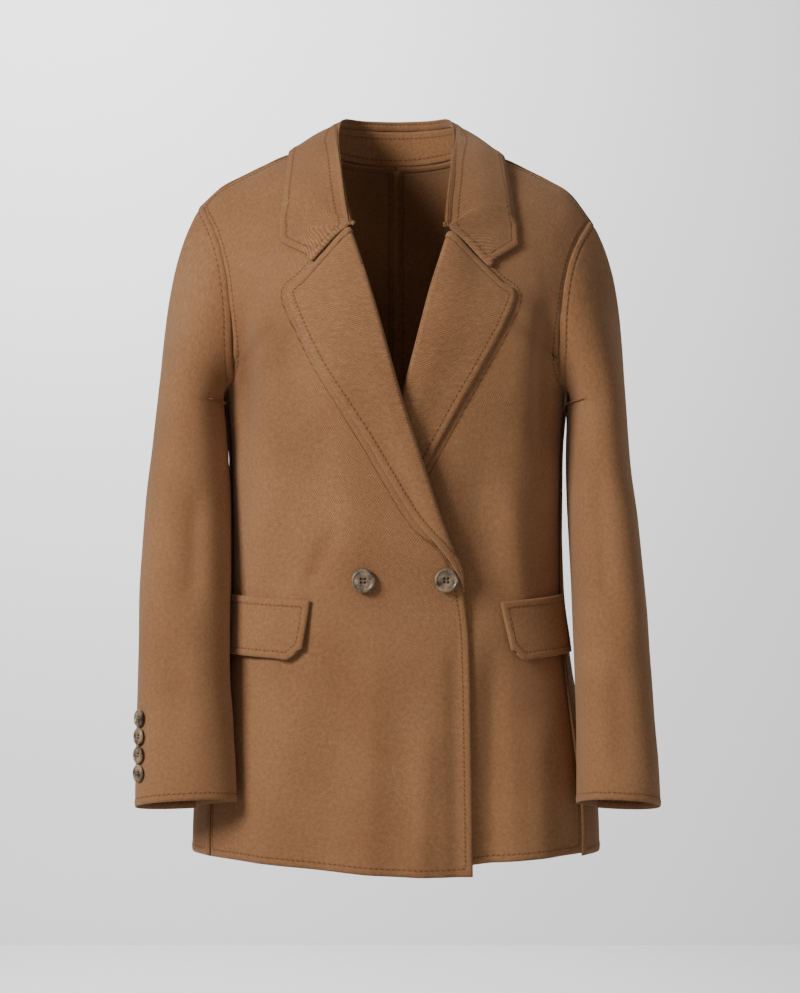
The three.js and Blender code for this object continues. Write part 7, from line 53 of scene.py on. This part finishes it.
BUTTONS = [{"name": "button_front_outer", "at": [49.0715, -123.3463, -435.2422], "normal": [0.1028, -0.9947, 0.0043]}, {"name": "button_front_inner", "at": [-31.6032, -124.6584, -435.5431], "normal": [-0.0529, -0.9986, 0.0043]}, {"name": "button_cuff_right_1", "at": [-251.6756, -108.8215, -624.9331], "normal": [-0.8192, -0.5713, 0.0515]}, {"name": "button_cuff_right_2", "at": [-251.6274, -107.147, -607.0238], "normal": [-0.8282, -0.5574, 0.0586]}, {"name": "button_cuff_right_3", "at": [-251.5374, -105.2725, -589.1159], "normal": [-0.8382, -0.5415, 0.0647]}, {"name": "button_cuff_right_4", "at": [-251.4195, -103.1891, -571.2085], "normal": [-0.848, -0.5253, 0.0704]}, {"name": "button_cuff_left_1", "at": [255.6963, -55.4628, -625.0299], "normal": [0.902, 0.4311, -0.023]}, {"name": "button_cuff_left_2", "at": [254.8492, -52.8118, -607.115], "normal": [0.9069, 0.4212, -0.0115]}, {"name": "button_cuff_left_3", "at": [253.5662, -49.9481, -589.195], "normal": [0.9118, 0.4106, 0.0039]}, {"name": "button_cuff_left_4", "at": [252.1988, -46.8386, -571.3132], "normal": [0.9163, 0.4004, -0.0101]}]

WALL = 2.2
# Soft folds of the cloth: piece, top and bottom of the crest across and in height, width and rise in millimetres.
FOLDS = [
    ("front_right", -150, -150, -152, -330, 10, -3.5), ("front_right", -95, -420, -128, -540, 16, 2.2), ("front_right", -60, -380, -88, -450, 9, -2.2),
    ("front_right", 30, -560, 24, -725, 14, 2.4), ("front_right", 58, -470, 60, -725, 9, -2.0), ("front_right", -20, -480, -28, -725, 16, 1.8),
    ("front_left", 150, -150, 150, -330, 10, -3.5), ("front_left", 112, -330, 126, -500, 14, 2.6), ("front_left", 96, -480, 94, -715, 12, -2.6), ("front_left", 140, -560, 146, -715, 14, 2.2),
    ("sleeve_right", -232, -300, -240, -500, 16, 2.2), ("sleeve_right", -196, -330, -200, -470, 12, -2.6), ("sleeve_right", -214, -480, -222, -640, 18, -2.0),
    ("sleeve_left", 196, -300, 206, -480, 12, -2.6), ("sleeve_left", 226, -320, 238, -520, 14, 2.2), ("sleeve_left", 214, -500, 224, -640, 16, -2.0),
]

def smooth(t):
    t = np.clip(t, 0, 1); return t * t * (3 - 2 * t)

def refine(a, k, closed):
    """Catmull-Rom along the first axis, k steps to each cell."""
    n = len(a)
    idx = lambda i: a[i % n] if closed else a[np.clip(i, 0, n - 1)]
    i = np.arange(n if closed else n - 1)
    p0, p1, p2, p3 = idx(i - 1), idx(i), idx(i + 1), idx(i + 2)
    if not closed:
        p0[0] = 2 * p1[0] - p2[0]; p3[-1] = 2 * p2[-1] - p1[-1]
    t = (np.arange(k) / k).reshape((1, k) + (1,) * (a.ndim - 1))
    p0, p1, p2, p3 = (p[:, None] for p in (p0, p1, p2, p3))
    q = 0.5 * (2 * p1 + (p2 - p0) * t + (2 * p0 - 5 * p1 + 4 * p2 - p3) * t ** 2 + (3 * p1 - p0 - 3 * p2 + p3) * t ** 3)
    q = q.reshape((-1,) + a.shape[1:])
    return q if closed else np.concatenate([q, a[-1:]])

def cloth(name, g):
    kr, kc = g["fine"]; closed = g["closed"]
    rows = np.array(g["rows"], float)
    P = refine(rows, kr, False)
    P = refine(P.transpose(1, 0, 2), kc, closed).transpose(1, 0, 2).copy()
    R, C = P.shape[:2]
    # the sewn edges run under their neighbour, so that no light comes through a seam
    if name.startswith(("front", "back_r", "back_l")): P[:, 0] += (P[:, 0] - P[:, 1]) * 0.6
    if name.startswith("sleeve"): P[0] += (P[0] - P[1]) * 0.35; P[0, :, 0] -= 1.6 * np.sign(P[0, :, 0])
    keep = np.array([[c == "1" for c in row] for row in g["keep"]])
    keep = keep if closed else keep[:, :-1]
    cells = np.repeat(np.repeat(keep, kr, 0), kc, 1)
    nxt = lambda j: (j + 1) % C if closed else j + 1
    # normals from the kept cells
    N = np.zeros_like(P)
    I, J = np.nonzero(cells); J2 = (J + 1) % C if closed else J + 1
    def normals():
        N[:] = 0
        f = np.cross(P[I + 1, J2] - P[I, J], P[I, J2] - P[I + 1, J]) * -1
        f = np.cross(P[I, J2] - P[I, J], P[I + 1, J] - P[I, J]) + np.cross(P[I + 1, J] - P[I + 1, J2], P[I, J2] - P[I + 1, J2])
        for a, b in ((I, J), (I, J2), (I + 1, J), (I + 1, J2)): np.add.at(N, (a, b), f)
        n = np.linalg.norm(N, axis=2, keepdims=True); N[:] = N / np.maximum(n, 1e-9)
    normals()
    sign = -1 if g["flip"] else 1
    mean = np.zeros((R, C))
    for piece, x0, z0, x1, z1, w, rise in FOLDS:
        if piece != name: continue
        t = (P[..., 2] - z0) / (z1 - z0); x = x0 + (x1 - x0) * np.clip(t, 0, 1)
        end = smooth((1 - t) / 0.3) if z1 > -700 else 1.0
        front = smooth((20 - P[..., 1]) / 30) if "sleeve" in name else 1.0
        mean += rise * smooth(t / 0.3) * end * front * np.exp(-((P[..., 0] - x) / w) ** 2)
    if "front" in name:
        lap = np.zeros(C, bool); lap[18 * kc:] = True
        mean[:, lap] = 0
    P += N * (sign * 1.7 * mean)[..., None]
    normals()
    used = np.zeros((R, C), bool)
    for a, b in ((I, J), (I, J2), (I + 1, J), (I + 1, J2)): used[a, b] = True
    ids = -np.ones((R, C), int); ids[used] = np.arange(used.sum())
    n0 = int(used.sum())
    quads = np.stack([ids[I, J], ids[I, J2], ids[I + 1, J2], ids[I + 1, J]], 1)
    edges = {}
    for q in quads.tolist():
        for k in range(4):
            e = (q[k], q[(k + 1) % 4])
            if (e[1], e[0]) in edges: del edges[(e[1], e[0])]
            else: edges[e] = 1
    V = P[used]; NN = N[used]
    kd = kdtree.KDTree(len(edges) * 2); c = 0
    for a, b in edges: kd.insert(V[a], c); kd.insert((V[a] + V[b]) / 2, c + 1); c += 2
    kd.balance()
    dist = np.array([kd.find(v)[2] for v in V])
    h = 0.55 * smooth((7.4 - dist) / 1.6) - 0.28 * np.exp(-((dist - 7.2) / 1.4) ** 2) - 0.75 * smooth((2.6 - dist) / 2.6)
    if name == "back_seam_strip" or name == "collar_stand": h = -0.2 * smooth((2 - dist) / 2)
    out = V + NN * (sign * h)[:, None]
    inn = V - NN * (sign * (WALL * (0.5 if name == "back_seam_strip" else 1) + h))[:, None]
    # arc length coordinates, in metres
    du = np.linalg.norm(np.diff(P, axis=1), axis=2).mean(0); dv = np.linalg.norm(np.diff(P, axis=0), axis=2).mean(1)
    U, W = np.meshgrid(np.concatenate([[0], np.cumsum(du)]), np.concatenate([[0], np.cumsum(dv)]))
    uv = np.stack([U[used], W[used]], 1) / 1000
    verts = np.concatenate([out, inn]) / 1000
    faces = [tuple(q) for q in quads.tolist()] + [tuple(v + n0 for v in q[::-1]) for q in quads.tolist()]
    faces += [(b, a, a + n0, b + n0) for a, b in edges]
    if sign < 0: faces = [f[::-1] for f in faces]
    me = bpy.data.meshes.new("cloth_" + name)
    me.from_pydata(verts.tolist(), [], faces)
    me.validate()
    layer = me.uv_layers.new(name="weave"); both = np.concatenate([uv, uv])
    vi = np.zeros(len(me.loops), int); me.loops.foreach_get("vertex_index", vi)
    layer.data.foreach_set("uv", both[vi].ravel())
    at = me.attributes.new("edge_mm", "FLOAT", "POINT"); at.data.foreach_set("value", np.concatenate([dist, dist]).astype(np.float32))
    me.polygons.foreach_set("use_smooth", [True] * len(me.polygons))
    ob = bpy.data.objects.new("cloth_" + name, me); bpy.context.scene.collection.objects.link(ob)
    return ob

def material(name):
    m = bpy.data.materials.new(name); m.use_nodes = True
    nt = m.node_tree; b = nt.nodes["Principled BSDF"]
    return m, nt, b

def maths(nt, op, a, b=0.0):
    n = nt.nodes.new("ShaderNodeMath"); n.operation = op
    for i, v in enumerate((a, b)):
        if isinstance(v, (int, float)): n.inputs[i].default_value = v
        else: nt.links.new(v, n.inputs[i])
    return n.outputs[0]

def noise(nt, vec, scale, detail=4.0, rough=0.55):
    n = nt.nodes.new("ShaderNodeTexNoise"); n.inputs["Scale"].default_value = scale; n.inputs["Detail"].default_value = detail; n.inputs["Roughness"].default_value = rough
    nt.links.new(vec, n.inputs["Vector"]); return n.outputs["Fac"]

def wool():
    m, nt, b = material("camel_wool")
    uv = nt.nodes.new("ShaderNodeUVMap"); uv.uv_map = "weave"
    sep = nt.nodes.new("ShaderNodeSeparateXYZ"); nt.links.new(uv.outputs[0], sep.inputs[0])
    u, v = sep.outputs[0], sep.outputs[1]
    tex = nt.nodes.new("ShaderNodeTexCoord").outputs["Object"]
    warp = noise(nt, uv.outputs[0], 420, 3)
    diag = maths(nt, "ADD", maths(nt, "SUBTRACT", u, maths(nt, "MULTIPLY", v, 0.8)), maths(nt, "MULTIPLY", warp, 0.0011))
    twill = maths(nt, "ADD", maths(nt, "MULTIPLY", maths(nt, "SINE", maths(nt, "MULTIPLY", diag, 2 * math.pi / 0.0021)), 0.5), 0.5)
    nap = noise(nt, uv.outputs[0], 900, 5, 0.7)
    tuft = noise(nt, uv.outputs[0], 260, 4, 0.65)
    wide = noise(nt, tex, 9, 3)
    at = nt.nodes.new("ShaderNodeAttribute"); at.attribute_name = "edge_mm"
    gap = maths(nt, "DIVIDE", maths(nt, "SUBTRACT", at.outputs["Fac"], 7.0), 0.75)
    line = maths(nt, "EXPONENT", maths(nt, "MULTIPLY", maths(nt, "MULTIPLY", gap, gap), -1.0))
    pitch = maths(nt, "ADD", maths(nt, "MULTIPLY", maths(nt, "SINE", maths(nt, "MULTIPLY", maths(nt, "ADD", u, v), 2 * math.pi / 0.0048)), 0.5), 0.5)
    prick = maths(nt, "MULTIPLY", line, maths(nt, "POWER", pitch, 2.0))
    tone = maths(nt, "ADD", maths(nt, "ADD", maths(nt, "MULTIPLY", nap, 0.45), maths(nt, "MULTIPLY", twill, 0.13)), maths(nt, "ADD", maths(nt, "MULTIPLY", tuft, 0.3), maths(nt, "MULTIPLY", wide, 0.22)))
    # painted shade: the wool tone is darkened along the stitch groove 7 mm inside the edges, and more in the
    # prick-stitch dents, where shade falls in the recesses
    tone = maths(nt, "SUBTRACT", tone, maths(nt, "ADD", maths(nt, "MULTIPLY", prick, 0.22), maths(nt, "MULTIPLY", line, 0.07)))
    ramp = nt.nodes.new("ShaderNodeValToRGB"); nt.links.new(tone, ramp.inputs[0])
    ramp.color_ramp.elements[0].position = 0.25; ramp.color_ramp.elements[0].color = (0.115, 0.042, 0.013, 1)
    ramp.color_ramp.elements[1].position = 0.8; ramp.color_ramp.elements[1].color = (0.5, 0.27, 0.135, 1)
    e = ramp.color_ramp.elements.new(0.52); e.color = (0.275, 0.126, 0.054, 1)
    nt.links.new(ramp.outputs[0], b.inputs["Base Color"])
    b.inputs["Roughness"].default_value = 0.92; b.inputs["Specular IOR Level"].default_value = 0.2
    b.inputs["Sheen Weight"].default_value = 0.35; b.inputs["Sheen Roughness"].default_value = 0.5; b.inputs["Sheen Tint"].default_value = (0.95, 0.72, 0.5, 1)
    height = maths(nt, "ADD", maths(nt, "ADD", maths(nt, "MULTIPLY", twill, 0.35), maths(nt, "MULTIPLY", nap, 0.6)), maths(nt, "SUBTRACT", maths(nt, "MULTIPLY", tuft, 0.7), maths(nt, "MULTIPLY", prick, 1.3)))
    bump = nt.nodes.new("ShaderNodeBump"); bump.inputs["Distance"].default_value = 0.0006; bump.inputs["Strength"].default_value = 0.75
    nt.links.new(height, bump.inputs["Height"]); nt.links.new(bump.outputs[0], b.inputs["Normal"])
    return m

def horn():
    m, nt, b = material("horn")
    tex = nt.nodes.new("ShaderNodeTexCoord").outputs["Object"]
    f = noise(nt, tex, 95, 5, 0.6)
    ramp = nt.nodes.new("ShaderNodeValToRGB"); nt.links.new(f, ramp.inputs[0])
    ramp.color_ramp.elements[0].position = 0.36; ramp.color_ramp.elements[0].color = (0.035, 0.02, 0.012, 1)
    ramp.color_ramp.elements[1].position = 0.66; ramp.color_ramp.elements[1].color = (0.4, 0.28, 0.18, 1)
    nt.links.new(ramp.outputs[0], b.inputs["Base Color"])
    b.inputs["Roughness"].default_value = 0.33; b.inputs["Coat Weight"].default_value = 0.25
    return m

def plain(name, col, rough=0.9):
    m, nt, b = material(name); b.inputs["Base Color"].default_value = (*col, 1); b.inputs["Roughness"].default_value = rough; return m

WOOL, HORN, THREAD = wool(), horn(), plain("thread", (0.13, 0.055, 0.02))

def button(spec):
    big = "front" in spec["name"]
    R, T, hole, off = (12.0, 4.0, 1.05, 1.8) if big else (8.6, 3.0, 0.8, 1.4)
    n = Vector(spec["normal"]); z = n.normalized(); x = Vector((0, 0, 1)).cross(z).normalized(); y = z.cross(x)
    rings, around = 40, 96
    def height(r, a):
        t = r / R
        top = T - 1.0 + 1.1 * math.exp(-((t - 0.83) / 0.085) ** 2) + 0.12 * t * t
        if t > 0.88: top = T + 0.05 - (T * 0.62) * ((t - 0.88) / 0.12) ** 2
        px, py = r * math.cos(a), r * math.sin(a)
        for sx in (-off, off):
            for sy in (-off, off):
                d = math.hypot(px - sx, py - sy)
                top -= (T - 1.6) / (1 + math.exp((d - hole) * 7))
        return top
    pts, faces = [(0, 0, height(0, 0))], []
    for i in range(1, rings + 1):
        r = R * (i / rings)
        pts += [(r * math.cos(a), r * math.sin(a), height(r, a)) for a in (2 * math.pi * j / around for j in range(around))]
    for rr, zz in ((R * 0.93, 0.4), (R * 0.75, 0.0)):
        pts += [(rr * math.cos(2 * math.pi * j / around), rr * math.sin(2 * math.pi * j / around), zz) for j in range(around)]
    pts.append((0, 0, 0))
    for j in range(around): faces.append((0, 1 + j, 1 + (j + 1) % around))
    for i in range(rings + 1):
        for j in range(around):
            a, b = 1 + i * around + j, 1 + i * around + (j + 1) % around
            faces.append((a, a + around, b + around, b))
    last = len(pts) - 1; base = 1 + (rings + 1) * around
    for j in range(around): faces.append((base + j, last, base + (j + 1) % around))
    me = bpy.data.meshes.new("visual_" + spec["name"])
    P0 = Vector(spec["at"])
    me.from_pydata([(P0 + x * p[0] + y * p[1] + z * p[2]) / 1000 for p in pts], [], faces)
    me.polygons.foreach_set("use_smooth", [True] * len(me.polygons))
    me.materials.append(HORN)
    ob = bpy.data.objects.new("visual_" + spec["name"], me); bpy.context.scene.collection.objects.link(ob)
    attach(ob, "root"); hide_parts(spec["name"])
    # thread: two bars over the holes
    tv, tf = [], []
    for s in (-off, off):
        for k in range(13):
            t = k / 12; cx = -off + 2 * off * t; lift = T - 1.9 + 1.5 * math.sin(math.pi * t) ** 0.5
            for q in range(8):
                a = 2 * math.pi * q / 8
                tv.append((P0 + x * cx + y * (s + 0.5 * math.cos(a)) + z * (lift + 0.5 * math.sin(a))) / 1000)
        o = len(tv) - 13 * 8
        for k in range(12):
            for q in range(8): tf.append((o + k * 8 + q, o + k * 8 + (q + 1) % 8, o + (k + 1) * 8 + (q + 1) % 8, o + (k + 1) * 8 + q))
        tf.append(tuple(o + q for q in range(8))[::-1]); tf.append(tuple(o + 96 + q for q in range(8)))
    mt = bpy.data.meshes.new("thread_" + spec["name"]); mt.from_pydata(tv, [], tf); mt.materials.append(THREAD)
    th = bpy.data.objects.new("thread_" + spec["name"], mt); bpy.context.scene.collection.objects.link(th)
    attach(th, "root")

for name, g in GRIDS.items():
    ob = cloth(name, g)
    ob.data.materials.append(WOOL)
    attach(ob, "root"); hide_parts(name)
for spec in BUTTONS: button(spec)

# camera, backdrop and light
cam = bpy.data.objects.new("camera", bpy.data.cameras.new("camera")); bpy.context.scene.collection.objects.link(cam)
cam.location = (0.00408, -2.8, -0.3534); cam.rotation_euler = (math.pi / 2, 0, 0); cam.data.lens = 99.5; cam.data.sensor_fit = "AUTO"; cam.data.sensor_width = 36
bpy.context.scene.camera = cam
back = plain("backdrop", (0.8, 0.8, 0.805))
for name, loc, rot in (("floor", (0, 0, -2.2), (0, 0, 0)), ("wall", (0, 8.5, 0), (math.pi / 2, 0, 0))):
    bpy.ops.mesh.primitive_plane_add(size=34, location=loc, rotation=rot); o = bpy.context.object; o.name = name; o.data.materials.append(back)
def light(name, loc, size, power, aim=(0, 0, -0.35)):
    d = bpy.data.lights.new(name, "AREA"); d.size = size; d.energy = power; o = bpy.data.objects.new(name, d); bpy.context.scene.collection.objects.link(o)
    o.location = loc; o.rotation_euler = (Vector(aim) - Vector(loc)).to_track_quat("-Z", "Y").to_euler()
light("key", (-2.3, -2.2, 1.1), 1.1, 118); light("fill", (2.4, -2.6, 0.2), 2.2, 6); light("backdrop_light", (-1.5, 5.6, 2.2), 3.0, 420, (0, 8.5, -0.4))
world = bpy.data.worlds.new("world"); bpy.context.scene.world = world; world.use_nodes = True
world.node_tree.nodes["Background"].inputs[0].default_value = (1, 1, 1, 1); world.node_tree.nodes["Background"].inputs[1].default_value = 0.24
